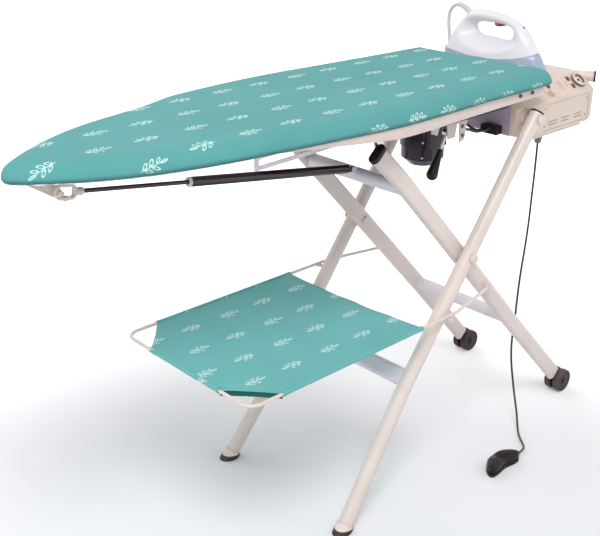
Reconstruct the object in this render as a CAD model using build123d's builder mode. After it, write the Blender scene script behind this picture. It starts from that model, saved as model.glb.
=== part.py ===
from build123d import *
import math
import os

# A vacuum ironing table: a padded board with a suction pan and a fan below it, a steam boiler
# box at the tail with its iron standing on top, two pairs of crossed legs, a clothes shelf,
# a gas spring, a height lever and a foot pedal on a cord.
# Millimetres. X runs from the nose of the board to the tail, +Y is the back, +Z is up, and the
# origin lies on the floor under the middle of the table.

os.makedirs("parts", exist_ok=True)

# Clearances and the overrun of every cut
running_gap = 0.05
soft_gap = 0.3
cut_over = 2.0

# Legs: the scissor pivot, the top pivot on the boiler box and the floor set both leg lines
scissor_x = 229.07
scissor_z = 515.0
top_pivot_x = scissor_x + 204.0
top_pivot_z = 785.0
wheel_axle_x = scissor_x + 452.0
wheel_axle_z = 30.0

housing_half_width = 150.0
b_tube_diameter = 32.0
b_tube_wall = 1.8
b_leg_y = housing_half_width + 21.5
b_foot_y = b_leg_y + 17.5
b_crossbar_down = 296.0
b_crossbar_width = 40.0
b_crossbar_thickness = 20.0
b_bend_down = 330.0
b_top_over = 12.0
b_cap_thickness = 4.0
foot_cap_wall = 3.5
foot_cap_length = 17.0
foot_sole = 12.0
leg_bend_radius = 180.0

a_tube_width = 40.0
a_tube_thickness = 20.0
a_tube_wall = 1.6
a_leg_y = b_leg_y - 27.0
a_top_y = a_leg_y - 9.5
a_wheel_y = a_leg_y + 9.5
a_upper_bend = 282.0
a_lower_bend = 330.0
a_top_length = 374.0
a_tube_end_gap = 36.0
a_upper_bar_up = 254.0
a_lower_bar_down = 315.0
a_bar_diameter = 30.0
a_bar_wall = 1.8
end_cap_rim = 2.0
end_cap_thickness = 9.0
plug_depth = 18.0

bolt_diameter = 12.0
bolt_head_diameter = 23.0
bolt_head_height = 7.0
bolt_nut_diameter = 19.0
hexagon = 6
bolt_nut_height = 6.0

wheel_diameter = 60.0
wheel_width = 17.0
wheel_hub_diameter = 22.0
wheel_web_depth = 3.5
wheel_tread_rounding = 4.0
axle_diameter = 8.0
axle_head_diameter = 14.0
axle_head_height = 2.4
fork_tongue = 7.0
fork_tongue_radius = 12.0
fork_collar = 3.0
wheel_side_gap = 0.5

# Slide bar of the wheeled legs and its two guide rails under the pan
slide_bar_x = scissor_x - 245.0
slide_bar_z = 815.0
slide_bar_diameter = 12.0
slide_travel = 243.0
slide_slope = 0.0299
slide_ear_thickness = 4.0
slide_ear_radius = 11.0
rail_y = 60.0
rail_thickness = 3.0
rail_edge = 9.0
rail_end = 16.0

# Board: outline, cover, pad, perforated sheet and pan
board_length = 1188.0
board_half_width = 203.0
board_tail_x = scissor_x + 227.0
board_nose_x = board_tail_x - board_length
board_station_shares = [0.08, 0.195, 0.342, 0.508, 0.685, 1.0]
board_width_shares = [0.4, 0.68, 0.843, 0.966, 1.0, 0.926]
nose_radius = 28.0
nose_turn = 50.0
tail_corner_radius = 20.0
cover_top_z = 894.0
cover_bottom_z = 860.0
cover_thickness = 3.0
cover_edge_radius = 14.0
cover_lip = 20.0
cover_lip_thickness = 3.7
cover_lip_end_x = board_nose_x + 361.0
sheet_thickness = 1.6
sheet_top_z = 878.0
vent_diameter = 12.0
vent_pitch = 64.0
vent_columns = 11
vent_rows = 4
vent_middle_x = scissor_x - 160.0
pan_rim_z = 864.0
pan_floor_z = 838.0
pan_wall = 1.6
pan_ramp_end_x = scissor_x - 270.0
pan_ramp_start_x = scissor_x - 600.0

# Suction fan under the pan
fan_x = scissor_x + 36.0
fan_radius = 52.0
fan_flange_radius = 64.0
fan_flange_thickness = 5.0
fan_bottom_z = 682.0
fan_step_z = 726.0
fan_step = 4.0
fan_taper_z = 698.0
fan_foot_radius = 30.0
duct_nose_x = scissor_x - 354.0
duct_full_x = scissor_x - 240.0
duct_tail_x = scissor_x + 104.0
duct_half_width = 172.0
duct_depth = 12.0
fan_side_flat = 44.0
fan_inlet_radius = 40.0
rivet_diameter = 8.0
rivet_height = 1.6
rivet_spacing = 40.0
rivet_count = 2

# Boiler box
housing_nose_x = scissor_x + 165.0
housing_length = 305.0
housing_top_z = 840.0
housing_bottom_z = 722.0
housing_nose_rise = 16.0
housing_nose_slant = 70.0
housing_corner = 26.0
housing_edge = 7.0
bevel_inner_y = 105.0
bevel_outer_z = 805.0
base_thickness = 8.0
base_inset = 3.0
pivot_boss_diameter = 40.0
panel_start = 105.0
panel_end_gap = 14.0
panel_bottom_gap = 14.0
panel_top_gap = 7.0
panel_depth = 4.0
panel_thickness = 3.0
panel_corner = 10.0
panel_slot_length = 34.0
panel_slot_width = 3.0
panel_slot_step = 1.5 * panel_slot_length
panel_slot_rise = 2.4 * panel_slot_width
panel_slot_columns = 3
panel_slot_rows = 2
panel_slot_depth = 1.0

# Controls on the bevel, placed along X from the box's nose side and up the bevel
gauge_along = housing_length - 34.0
gauge_up = 2.5
gauge_diameter = 39.0
gauge_height = 7.0
gauge_rim = 4.0
gauge_floor = 2.0
needle_length = 12.5
needle_width = 1.8
needle_rest_angle = 210.0
needle_thickness = 1.0
needle_hub_diameter = 6.0
needle_pin_diameter = 2.0
switch_along = gauge_along - 30.0
switch_up = 3.0
switch_spacing = 22.0
rocker_length = 12.0
rocker_width = 9.0
rocker_height = 4.0
rocker_gap = 0.7
rocker_pocket = 7.0
bezel_rim = 3.0
bezel_height = 1.2
lamp_along = 157.0
lamp_up = 7.9
lamp_diameter = 11.0
lamp_height = 4.0
knob_along = 146.0
knob_up = -12.0
knob_diameter = 15.0
knob_height = 11.0
knob_stem_diameter = 5.0
knob_stem = 8.0
knob_grooves = 12
knob_groove_diameter = 1.6
dish_along = 122.0
dish_up = -1.0
dish_length = 26.0
dish_width = 15.0
dish_depth = 2.0
socket_tube_diameter = 25.0
socket_tube_wall = 2.0
socket_tube_length = 42.0
socket_tube_turn = 30.0
socket_ring_length = 4.0
socket_ring_rim = 1.2
socket_root_in = 14.0

# Iron, its rest and hose
rest_thickness = 3.0
iron_x = scissor_x + 357.0
iron_tip_y = -92.0
iron_sole_length = 250.0
iron_sole_width = 118.0
iron_sole_thickness = 6.0
iron_tail_over = 24.0
iron_skirt_top = 27.0
iron_skirt_rise = 9.0
iron_skirt_nose_top = 46.0
iron_skirt_step = 1.5
iron_skirt_taper = 8
iron_nose_rake = 15.0
iron_height = 132.0
iron_body_step = 5.0
iron_body_taper = 18
iron_heel_lean = 38.0
handle_hole_along = 134.0
handle_hole_up = 84.5
handle_hole_length = 76.0
handle_hole_height = 33.0
handle_high_along = 166.0
handle_front_along = 104.0
handle_front_share = 0.87
trigger_width = 12.0
trigger_length = 26.0
trigger_height = 12.0
trigger_pocket = 7.0
relief_length = 14.0
relief_taper = 6.0
hose_diameter = 9.0
hose_points = [
    (152.5, 967.3),
    (166.8, 974.5),
    (182.8, 973.8),
    (196.4, 965.4),
    (205.1, 949.7),
    (205.1, 921.7),
    (198.2, 886.4),
    (197.0, 850.4),
    (202.6, 826.2),
    (200.8, 811.3),
    (192.3, 799.0),
    (179.0, 792.0),
    (164.0, 792.0),
]
hose_gland_z = hose_points[-1][1]
hose_gland_diameter = 20.0
hose_gland_length = 14.0

# Clothes shelf
shelf_z = 410.0
shelf_wire = 7.0
shelf_end_x = scissor_x - 641.0
shelf_half_width = a_leg_y + 53.5
shelf_corner_radius = 28.0
shelf_bend_x = scissor_x - 58.0
shelf_hinge_x = scissor_x + 98.0
shelf_hinge_y = a_leg_y + 20.5
shelf_bend_radius = 110.0
shelf_peg_diameter = 8.0
shelf_peg_head = 12.0
shelf_peg_head_height = 2.5
shelf_eye_diameter = 16.0
shelf_eye_radius = shelf_eye_diameter / 2
shelf_wire_bite = 1.0
shelf_eye_width = 6.0
cloth_thickness = 2.4
cloth_front_x = scissor_x - 172.0
cloth_front_skew = 14.0
cloth_clip_x = 78.0
cloth_clip_y = 88.0
sleeve_wall = 1.6

# Gas spring between the upper crossbar of the wheeled legs and the nose bracket
spring_pin_x = board_nose_x + 93.0
spring_pin_z = 824.0
spring_eye_x = scissor_x - 188.0
spring_eye_z = 716.0
spring_eye_radius = 6.0
spring_eye_width = 11.0
spring_pin_diameter = 6.0
spring_cylinder_diameter = 19.0
spring_cylinder_wall = 2.4
spring_cylinder_start = 15.0
spring_cylinder_end = 426.0
spring_stroke = 202.0
spring_rod_diameter = 8.0
spring_piston_length = 14.0
spring_mouth = 10.0
spring_collar_diameter = 14.0
spring_collar_length = 12.0
window_toward_eye = 22.6
window_up = 5.8
window_down = 4.3
window_gap = 0.6
window_rim = 4.6
fitting_thickness = 10.0
bracket_plate = 3.0
spring_ring_diameter = 10.0
spring_ring_width = 3.0
nose_plate_width = 34.0

# Height lever
lever_pivot_x = scissor_x - 27.0
lever_pivot_z = 786.0
lever_y = -115.0
lever_drop = 83.0
lever_lean = 39.0
lever_rod_diameter = 6.0
lever_rod_length = 36.0
lever_neck_diameter = 10.0
lever_bulb_diameter = 25.0
lever_hub_diameter = 14.0
lever_hub_width = 10.0
lever_pin_diameter = 6.0
lever_plate_y = -128.5
lever_plate_thickness = 2.5
lever_plate_shares = [
    (-0.82, 0),
    (-0.78, -0.34),
    (-0.56, -0.42),
    (-0.46, -0.18),
    (-0.2, -0.18),
    (-0.14, -0.6),
    (0.14, -0.6),
    (0.2, -0.26),
    (0.28, -0.26),
    (0.32, -0.78),
    (0.52, -0.72),
    (0.6, -0.25),
    (0.6, 0),
]
lever_screw_shares = [(0.4, -0.36), (0.42, -0.6)]

# Cables, glands and the pedal
cable_diameter = 6.0
cord_diameter = 5.0
cord_gland_x = scissor_x + 292.0
cord_gland_y = -128.0
cord_gland_diameter = 22.0
cord_gland_length = 18.0
cord_gland_taper = 12.0
connector_y = 56.0 - housing_half_width
connector_z = 755.0
connector_size = 46.0
connector_depth = 18.0
connector_height = 20.0
switch_cable_points = [
    (scissor_x + 22, -124, 786),
    (scissor_x + 44, -121, 780),
    (scissor_x + 72, -113, 768),
    (scissor_x + 104, -106, 762),
    (scissor_x + 130, -102, 760),
    (scissor_x + 147, -102, 760),
]
fan_cable_points = [
    (scissor_x + 100, -30, 820),
    (scissor_x + 110, -34, 800),
    (scissor_x + 112, -46, 776),
    (scissor_x + 118, -66, 758),
    (scissor_x + 131, -82, 752),
    (scissor_x + 147, -82, 752),
]
pedal_cord_points = [
    (scissor_x + 292, -128, 704),
    (scissor_x + 292, -128, 640),
    (scissor_x + 291, -127, 572),
    (scissor_x + 289, -127, 505),
    (scissor_x + 283, -127, 438),
    (scissor_x + 273, -128, 374),
    (scissor_x + 271, -127, 312),
    (scissor_x + 270, -127, 252),
    (scissor_x + 260, -130, 202),
    (scissor_x + 250, -140, 158),
    (scissor_x + 243, -154, 114),
    (scissor_x + 238, -168, 70),
    (scissor_x + 226, -188, 32),
    (scissor_x + 204, -208, 12),
    (scissor_x + 178, -232, 6),
    (scissor_x + 156, -262, 5),
    (scissor_x + 140, -273, 6),
    (scissor_x + 121, -273, 6),
]
pedal_x = scissor_x + 50.0
pedal_y = -273.0
pedal_length = 106.0
pedal_width = 66.0
pedal_base_height = 9.0
pedal_top_height = 13.0
pedal_gap = 2.5
pedal_edge = 6.0
pedal_pin_diameter = 4.0
pedal_collar_diameter = 5.6
screw_head_diameter = 8.0
screw_head_height = 1.6
pan_screw_shares = [(0.912, 0.937), (0.949, 0.932)]

# Worked-out places on the two leg lines
def unit(dx, dz):
    size = math.hypot(dx, dz)
    return Vector(dx / size, 0, dz / size)


b_up = unit(top_pivot_x - scissor_x, top_pivot_z - scissor_z)
b_top_reach = math.hypot(top_pivot_x - scissor_x, top_pivot_z - scissor_z)
b_floor_reach = scissor_z / b_up.Z
a_up = unit(scissor_x - wheel_axle_x, scissor_z - wheel_axle_z)
a_wheel_reach = math.hypot(scissor_x - wheel_axle_x, scissor_z - wheel_axle_z)
b_angle = math.degrees(math.atan2(b_up.Z, b_up.X))
sides = (-1, 1)


def on_b(along, y):
    return Vector(scissor_x + b_up.X * along, y, scissor_z + b_up.Z * along)


def on_a(along, y):
    return Vector(scissor_x + a_up.X * along, y, scissor_z + a_up.Z * along)


def across(x, z, y=0):
    """Plane square to Y through a point, its own X along X and its own Y along Z."""
    return Plane(origin=(x, y, z), x_dir=(1, 0, 0), z_dir=(0, -1, 0))


def write(solid, name):
    solid.label = name
    export_step(solid, f"parts/{name}.step")


def board_face(inset):
    """Plan outline of the board, drawn in by a distance."""
    points = [
        (board_nose_x + board_length * along, board_half_width * wide)
        for along, wide in zip(board_station_shares, board_width_shares)
    ]
    with BuildSketch() as plan:
        with BuildLine():
            edge = JernArc((board_nose_x, 0), (0, 1), nose_radius, -nose_turn)
            for point in points:
                edge = TangentArc(edge @ 1, point, tangent=edge % 1)
            mirror(about=Plane.XZ)
            tail = edge @ 1
            Line(tail, (tail.X, -tail.Y))
        make_face()
        fillet(plan.vertices().sort_by(Axis.X)[-2:], tail_corner_radius)
        if inset:
            offset(amount=-inset)
    return plan.sketch


def board_slab(inset, bottom, top, edge_radius):
    """Slab with the board's outline and a rounded upper edge."""
    with BuildPart() as slab:
        with BuildSketch(Plane.XY.offset(bottom)):
            add(board_face(inset))
        extrude(amount=top - bottom)
        if edge_radius:
            fillet(slab.edges().group_by(Axis.Z)[-1], edge_radius)
    return slab.part


# Cover, with a lip round the nose that the drawcord pulls under the board
with BuildPart() as ironing_cover:
    add(board_slab(0, cover_bottom_z, cover_top_z, cover_edge_radius))
    add(
        board_slab(
            cover_thickness,
            cover_bottom_z + cover_lip_thickness,
            cover_top_z - cover_thickness,
            cover_edge_radius - cover_thickness,
        ),
        mode=Mode.SUBTRACT,
    )
    with BuildSketch(Plane.XY.offset(cover_bottom_z)):
        add(board_face(cover_thickness))
        with Locations((cover_lip_end_x + board_length / 2, 0)):
            Rectangle(board_length, 4 * board_half_width, mode=Mode.INTERSECT)
        add(board_face(cover_lip))
    extrude(amount=cover_lip_thickness, mode=Mode.SUBTRACT)
write(ironing_cover.part, "ironing_cover")

# Pad between the cover and the sheet
inner_inset = cover_thickness + soft_gap
pad_top_z = cover_top_z - cover_thickness - soft_gap
with BuildPart() as felt_pad:
    add(board_slab(inner_inset, sheet_top_z, pad_top_z, cover_edge_radius - cover_thickness))
write(felt_pad.part, "felt_pad")

# Perforated sheet: a shallow tray turned upside down
with BuildPart() as perforated_sheet:
    add(board_slab(inner_inset, pan_rim_z, sheet_top_z, 0))
    add(
        board_slab(inner_inset + sheet_thickness, pan_rim_z, sheet_top_z - sheet_thickness, 0),
        mode=Mode.SUBTRACT,
    )
    with BuildSketch(Plane.XY.offset(sheet_top_z)):
        with Locations((vent_middle_x, 0)):
            with GridLocations(vent_pitch, vent_pitch, vent_columns, vent_rows):
                Circle(vent_diameter / 2)
    extrude(amount=-sheet_thickness, mode=Mode.SUBTRACT)
write(perforated_sheet.part, "perforated_sheet")


# Pan: level under the suction area, rising to the sheet toward the nose
def ramp_z(x):
    run = pan_ramp_end_x - pan_ramp_start_x
    return pan_floor_z + (pan_rim_z - pan_floor_z) * max(0, pan_ramp_end_x - x) / run


def pan_block(inset, lift):
    with BuildPart() as block:
        with BuildSketch(Plane.XY.offset(pan_floor_z + lift)):
            add(board_face(inset))
        extrude(amount=pan_rim_z - pan_floor_z - lift)
        with BuildSketch(Plane.XZ):
            with BuildLine():
                Polyline(
                    (pan_ramp_start_x, pan_rim_z + lift),
                    (pan_ramp_end_x, pan_floor_z + lift),
                    (board_tail_x, pan_floor_z + lift),
                    (board_tail_x, pan_rim_z + lift),
                    close=True,
                )
            make_face()
        extrude(amount=board_half_width, both=True, mode=Mode.INTERSECT)
    return block.part


with BuildPart() as vacuum_pan:
    add(pan_block(inner_inset, 0))
    add(pan_block(inner_inset + pan_wall, pan_wall), mode=Mode.SUBTRACT)
    with BuildSketch(Plane.XY.offset(pan_floor_z)):
        with Locations((fan_x, 0)):
            Circle(fan_inlet_radius)
    extrude(amount=pan_wall, mode=Mode.SUBTRACT)
write(vacuum_pan.part, "vacuum_pan")

# Guide rails: plates under the duct and the pan, slotted for the slide bar
slide_end_x = slide_bar_x - slide_travel
slide_end_z = slide_bar_z - slide_travel * slide_slope
rail_front_x = slide_bar_x + rail_end
rail_back_x = slide_end_x - rail_end
rail_drop = slide_bar_diameter / 2 + rail_edge
slide_middle = across((slide_end_x + slide_bar_x) / 2, (slide_end_z + slide_bar_z) / 2)
duct_bottom_z = pan_floor_z - duct_depth
with BuildPart() as guide_rails:
    for side in sides:
        with BuildSketch(across(0, 0, side * rail_y)):
            with BuildLine():
                Polyline(
                    (rail_front_x, duct_bottom_z),
                    (duct_full_x, duct_bottom_z),
                    (duct_nose_x, ramp_z(duct_nose_x)),
                    (rail_back_x, ramp_z(rail_back_x)),
                    (rail_back_x, slide_end_z - rail_drop),
                    (rail_front_x, slide_bar_z - rail_drop),
                    close=True,
                )
            make_face()
        extrude(amount=rail_thickness / 2, both=True)
    with BuildSketch(slide_middle):
        SlotCenterToCenter(
            slide_travel,
            slide_bar_diameter + 2 * soft_gap,
            rotation=math.degrees(math.atan(slide_slope)),
        )
    extrude(amount=rail_y + rail_thickness, both=True, mode=Mode.SUBTRACT)
write(guide_rails.part, "guide_rails")

# Fan housing: a duct plate under the pan and the stepped round housing of the fan
with BuildPart() as fan_housing:
    with BuildSketch(Plane.XZ):
        with BuildLine():
            Polyline(
                (duct_nose_x, ramp_z(duct_nose_x)),
                (duct_full_x, duct_bottom_z),
                (duct_tail_x, duct_bottom_z),
                (duct_tail_x, pan_floor_z),
                (pan_ramp_end_x, pan_floor_z),
                close=True,
            )
        make_face()
    extrude(amount=duct_half_width, both=True)
    with BuildSketch(across(fan_x, 0)):
        with BuildLine():
            Polyline(
                (0, fan_bottom_z),
                (fan_foot_radius, fan_bottom_z),
                (fan_radius - fan_step, fan_taper_z),
                (fan_radius - fan_step, fan_step_z),
                (fan_radius, fan_step_z),
                (fan_radius, duct_bottom_z - fan_flange_thickness),
                (fan_flange_radius, duct_bottom_z - fan_flange_thickness),
                (fan_flange_radius, duct_bottom_z),
                (0, duct_bottom_z),
                close=True,
            )
        make_face()
    revolve(axis=Axis((fan_x, 0, 0), (0, 0, 1)))
    with BuildSketch(Plane.XY.offset(fan_bottom_z)):
        with Locations((fan_x, -fan_side_flat - fan_radius)):
            Rectangle(2 * fan_radius, 2 * fan_radius)
    extrude(amount=duct_bottom_z - fan_flange_thickness - fan_bottom_z, mode=Mode.SUBTRACT)
    with BuildSketch(Plane.XZ.offset(fan_side_flat)):
        with Locations((fan_x, (fan_step_z + duct_bottom_z) / 2)):
            with GridLocations(0, rivet_spacing, 1, rivet_count):
                Circle(rivet_diameter / 2)
    extrude(amount=rivet_height)
write(fan_housing.part, "fan_housing")


# Legs standing on the floor at the nose side
def b_leg(side):
    with BuildPart() as leg:
        with BuildLine() as route:
            FilletPolyline(
                on_b(-b_floor_reach + foot_sole / b_up.Z, side * b_foot_y),
                on_b(-b_bend_down, side * b_leg_y),
                on_b(b_top_reach + b_top_over, side * b_leg_y),
                radius=leg_bend_radius,
            )
        with BuildSketch(Plane(origin=route.line @ 0, x_dir=(0, 1, 0), z_dir=route.line % 0)):
            Circle(b_tube_diameter / 2)
            Circle(b_tube_diameter / 2 - b_tube_wall, mode=Mode.SUBTRACT)
        sweep()
        for x, z in ((scissor_x, scissor_z), (top_pivot_x, top_pivot_z)):
            with BuildSketch(across(x, z)):
                Circle(bolt_diameter / 2 + running_gap)
            extrude(amount=side * -(b_leg_y + b_tube_diameter), mode=Mode.SUBTRACT)
    return leg.part


write(b_leg(-1), "b_leg_front")
write(b_leg(1), "b_leg_rear")

# Flat-oval crossbar, coped to the two round tubes
with BuildPart() as b_crossbar:
    middle = on_b(-b_crossbar_down, 0)
    with BuildSketch(across(middle.X, middle.Z)):
        SlotOverall(b_crossbar_width, b_crossbar_thickness, rotation=b_angle)
        SlotOverall(
            b_crossbar_width - 2 * b_tube_wall,
            b_crossbar_thickness - 2 * b_tube_wall,
            rotation=b_angle,
            mode=Mode.SUBTRACT,
        )
    extrude(amount=b_leg_y, both=True)
    for side in sides:
        start = on_b(-b_crossbar_down - b_crossbar_width, side * b_leg_y)
        with BuildSketch(Plane(origin=start, z_dir=b_up)):
            Circle(b_tube_diameter / 2)
        extrude(amount=2 * b_crossbar_width, mode=Mode.SUBTRACT)
write(b_crossbar.part, "b_crossbar")

# Rubber feet: sleeves on the tube ends, cut level with the floor
with BuildPart() as b_feet:
    for side in sides:
        bend = on_b(-b_bend_down, side * b_leg_y)
        ground = on_b(-b_floor_reach, side * b_foot_y)
        down = (ground - bend).normalized()
        with BuildSketch(Plane(origin=ground - down * foot_cap_length, z_dir=down)):
            Circle(b_tube_diameter / 2 + foot_cap_wall)
        extrude(amount=foot_cap_length + b_tube_diameter)
    split(bisect_by=Plane.XY, keep=Keep.TOP)
    for side in sides:
        bend = on_b(-b_bend_down, side * b_leg_y)
        ground = on_b(-b_floor_reach, side * b_foot_y)
        tube_end = on_b(-b_floor_reach + foot_sole / b_up.Z, side * b_foot_y)
        up = (bend - tube_end).normalized()
        with BuildSketch(Plane(origin=tube_end, z_dir=up)):
            Circle(b_tube_diameter / 2)
        extrude(amount=foot_cap_length, mode=Mode.SUBTRACT)
write(b_feet.part, "b_feet")

# Dark caps in the upper tube ends
with BuildPart() as b_end_caps:
    for side in sides:
        rim = Plane(origin=on_b(b_top_reach + b_top_over, side * b_leg_y), z_dir=b_up)
        with BuildSketch(rim):
            Circle(b_tube_diameter / 2)
        extrude(amount=b_cap_thickness)
        with BuildSketch(rim):
            Circle(b_tube_diameter / 2 - b_tube_wall)
        extrude(amount=-(b_top_over - bolt_diameter / 2 - b_cap_thickness))
write(b_end_caps.part, "b_end_caps")


# Legs on wheels, crossing inside the others
def a_side_y(along):
    """Distance of a wheeled leg's line from the middle, below its lower bend."""
    share = (-along - a_lower_bend) / (a_wheel_reach - a_lower_bend)
    return a_leg_y + (a_wheel_y - a_leg_y) * share


a_tube_end = -a_wheel_reach + a_tube_end_gap
a_wide = Vector(-a_up.Z, 0, a_up.X)


def a_leg(side):
    with BuildPart() as leg:
        with BuildLine() as route:
            FilletPolyline(
                on_a(a_tube_end, side * a_side_y(a_tube_end)),
                on_a(-a_lower_bend, side * a_leg_y),
                on_a(a_upper_bend, side * a_leg_y),
                on_a(a_top_length, side * a_top_y),
                radius=leg_bend_radius,
            )
        with BuildSketch(Plane(origin=route.line @ 0, x_dir=a_wide, z_dir=route.line % 0)):
            SlotOverall(a_tube_width, a_tube_thickness)
            SlotOverall(
                a_tube_width - 2 * a_tube_wall,
                a_tube_thickness - 2 * a_tube_wall,
                mode=Mode.SUBTRACT,
            )
        sweep()
        with BuildSketch(across(scissor_x, scissor_z)):
            Circle(bolt_diameter / 2 + running_gap)
        extrude(amount=side * -(a_leg_y + a_tube_width), mode=Mode.SUBTRACT)
    return leg.part


write(a_leg(-1), "a_leg_front")
write(a_leg(1), "a_leg_rear")

# Upper crossbar with the gas spring's bracket welded on, and the lower crossbar
a_bar_half = a_leg_y - a_tube_thickness / 2
cheek_y = spring_eye_width / 2 + soft_gap
upper_bar = on_a(a_upper_bar_up, 0)
with BuildPart() as a_upper_crossbar:
    with BuildSketch(across(upper_bar.X, upper_bar.Z)):
        Circle(a_bar_diameter / 2)
        Circle(a_bar_diameter / 2 - a_bar_wall, mode=Mode.SUBTRACT)
    extrude(amount=a_bar_half, both=True)
    for side in sides:
        start = cheek_y if side < 0 else -cheek_y - bracket_plate
        with BuildSketch(Plane.XZ.offset(start)):
            with BuildLine():
                Polyline(
                    (spring_eye_x - spring_eye_radius, spring_eye_z),
                    (spring_eye_x, spring_eye_z + spring_eye_radius),
                    (upper_bar.X + a_bar_diameter / 2 - a_bar_wall, upper_bar.Z),
                    (upper_bar.X, upper_bar.Z - a_bar_diameter / 2 + a_bar_wall),
                    close=True,
                )
            make_face()
            with Locations((spring_eye_x, spring_eye_z)):
                Circle(spring_eye_radius)
            with Locations((upper_bar.X, upper_bar.Z)):
                Circle(a_bar_diameter / 2 - a_bar_wall / 2, mode=Mode.SUBTRACT)
        extrude(amount=bracket_plate)
    with BuildSketch(across(spring_eye_x, spring_eye_z)):
        Circle(spring_pin_diameter / 2)
    extrude(amount=cheek_y + bracket_plate, both=True)
write(a_upper_crossbar.part, "a_upper_crossbar")

lower_bar = on_a(-a_lower_bar_down, 0)
with BuildPart() as a_lower_crossbar:
    with BuildSketch(across(lower_bar.X, lower_bar.Z)):
        Circle(a_bar_diameter / 2)
        Circle(a_bar_diameter / 2 - a_bar_wall, mode=Mode.SUBTRACT)
    extrude(amount=a_bar_half, both=True)
write(a_lower_crossbar.part, "a_lower_crossbar")

# Black end caps of the wheeled legs
with BuildPart() as a_end_caps:
    for side in sides:
        top = on_a(a_top_length, side * a_top_y)
        out = (top - on_a(a_upper_bend, side * a_leg_y)).normalized()
        rim = Plane(origin=top, x_dir=a_wide, z_dir=out)
        with BuildSketch(rim):
            SlotOverall(a_tube_width + 2 * end_cap_rim, a_tube_thickness + 2 * end_cap_rim)
        extrude(amount=end_cap_thickness)
        with BuildSketch(rim):
            SlotOverall(a_tube_width - 2 * a_tube_wall, a_tube_thickness - 2 * a_tube_wall)
        extrude(amount=-plug_depth)
    fillet(a_end_caps.edges().filter_by(GeomType.CIRCLE).group_by(Axis.Z)[-1], end_cap_rim)
write(a_end_caps.part, "a_end_caps")

# Slide bar between two ears, which sit on the inner faces of the wheeled legs
ear_y = a_top_y - a_tube_thickness / 2
ear_root = on_a(a_top_length - a_tube_width, 0)
with BuildPart() as bar:
    with BuildSketch(across(slide_bar_x, slide_bar_z)):
        Circle(slide_bar_diameter / 2)
    extrude(amount=ear_y - slide_ear_thickness, both=True)


def slide_ear(side):
    with BuildPart() as ear:
        with BuildSketch(across(slide_bar_x, slide_bar_z, side * ear_y)):
            Circle(slide_ear_radius)
            with Locations(Vector(ear_root.X - slide_bar_x, ear_root.Z - slide_bar_z)):
                Circle(slide_ear_radius)
            make_hull()
        extrude(amount=side * slide_ear_thickness)
        add(a_end_caps.part, mode=Mode.SUBTRACT)
    return ear.part


write(Compound(children=[bar.part] + [slide_ear(side) for side in sides]), "slide_bar")

# Pivot bolts with domed heads outside and nuts inside
def domed_bolt(x, z, side, inner_y, outer_y, nut_y):
    """Bolt from a nut inside to a domed head outside a leg."""
    with BuildPart() as bolt:
        with BuildSketch(across(x, z, side * inner_y)):
            Circle(bolt_diameter / 2)
        extrude(amount=-side * (outer_y - inner_y))
        with BuildSketch(Plane(origin=(x, side * outer_y, z), z_dir=(0, side, 0))):
            Circle(bolt_head_diameter / 2)
        extrude(amount=bolt_head_height)
        fillet(bolt.edges().sort_by(Axis.Y)[0 if side < 0 else -1], bolt_head_height * 0.7)
        if nut_y is not None:
            with BuildSketch(Plane(origin=(x, side * nut_y, z), z_dir=(0, -side, 0))):
                RegularPolygon(bolt_nut_diameter / 2, hexagon)
            extrude(amount=bolt_nut_height)
    return bolt.part


b_outer_y = b_leg_y + b_tube_diameter / 2 + soft_gap
a_inner_y = a_leg_y - a_tube_thickness / 2 - soft_gap
bolts = [domed_bolt(scissor_x, scissor_z, side, a_inner_y, b_outer_y, a_inner_y) for side in sides]
write(Compound(children=bolts), "scissor_bolts")
pivots = [
    domed_bolt(top_pivot_x, top_pivot_z, side, housing_half_width, b_outer_y, None)
    for side in sides
]
write(Compound(children=pivots), "top_pivot_bolts")

# Wheels, two on each leg, and the forks that carry them
fork_side_y = fork_tongue / 2 + wheel_side_gap


def wheel(middle_y):
    place = Plane(origin=(wheel_axle_x, middle_y, wheel_axle_z), x_dir=(0, 1, 0), z_dir=(1, 0, 0))
    with BuildPart() as part:
        with BuildSketch(place):
            with Locations((0, wheel_diameter / 4 + axle_diameter / 4 + running_gap / 2)):
                tread = Rectangle(
                    wheel_width, wheel_diameter / 2 - axle_diameter / 2 - running_gap
                )
            fillet(tread.vertices().group_by(Axis.Y)[-1], wheel_tread_rounding)
        revolve(axis=Axis((wheel_axle_x, middle_y, wheel_axle_z), (0, 1, 0)))
        for side in sides:
            face = Plane(
                origin=(wheel_axle_x, middle_y + side * wheel_width / 2, wheel_axle_z),
                z_dir=(0, side, 0),
            )
            with BuildSketch(face):
                Circle(wheel_diameter / 2 - 2 * wheel_tread_rounding)
                Circle(wheel_hub_diameter / 2, mode=Mode.SUBTRACT)
            extrude(amount=-wheel_web_depth, mode=Mode.SUBTRACT)
    return part.part


wheel_offset = fork_side_y + wheel_width / 2
write(wheel(-a_wheel_y - wheel_offset), "wheel_front_outer")
write(wheel(-a_wheel_y + wheel_offset), "wheel_front_inner")
write(wheel(a_wheel_y - wheel_offset), "wheel_rear_inner")
write(wheel(a_wheel_y + wheel_offset), "wheel_rear_outer")

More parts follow.
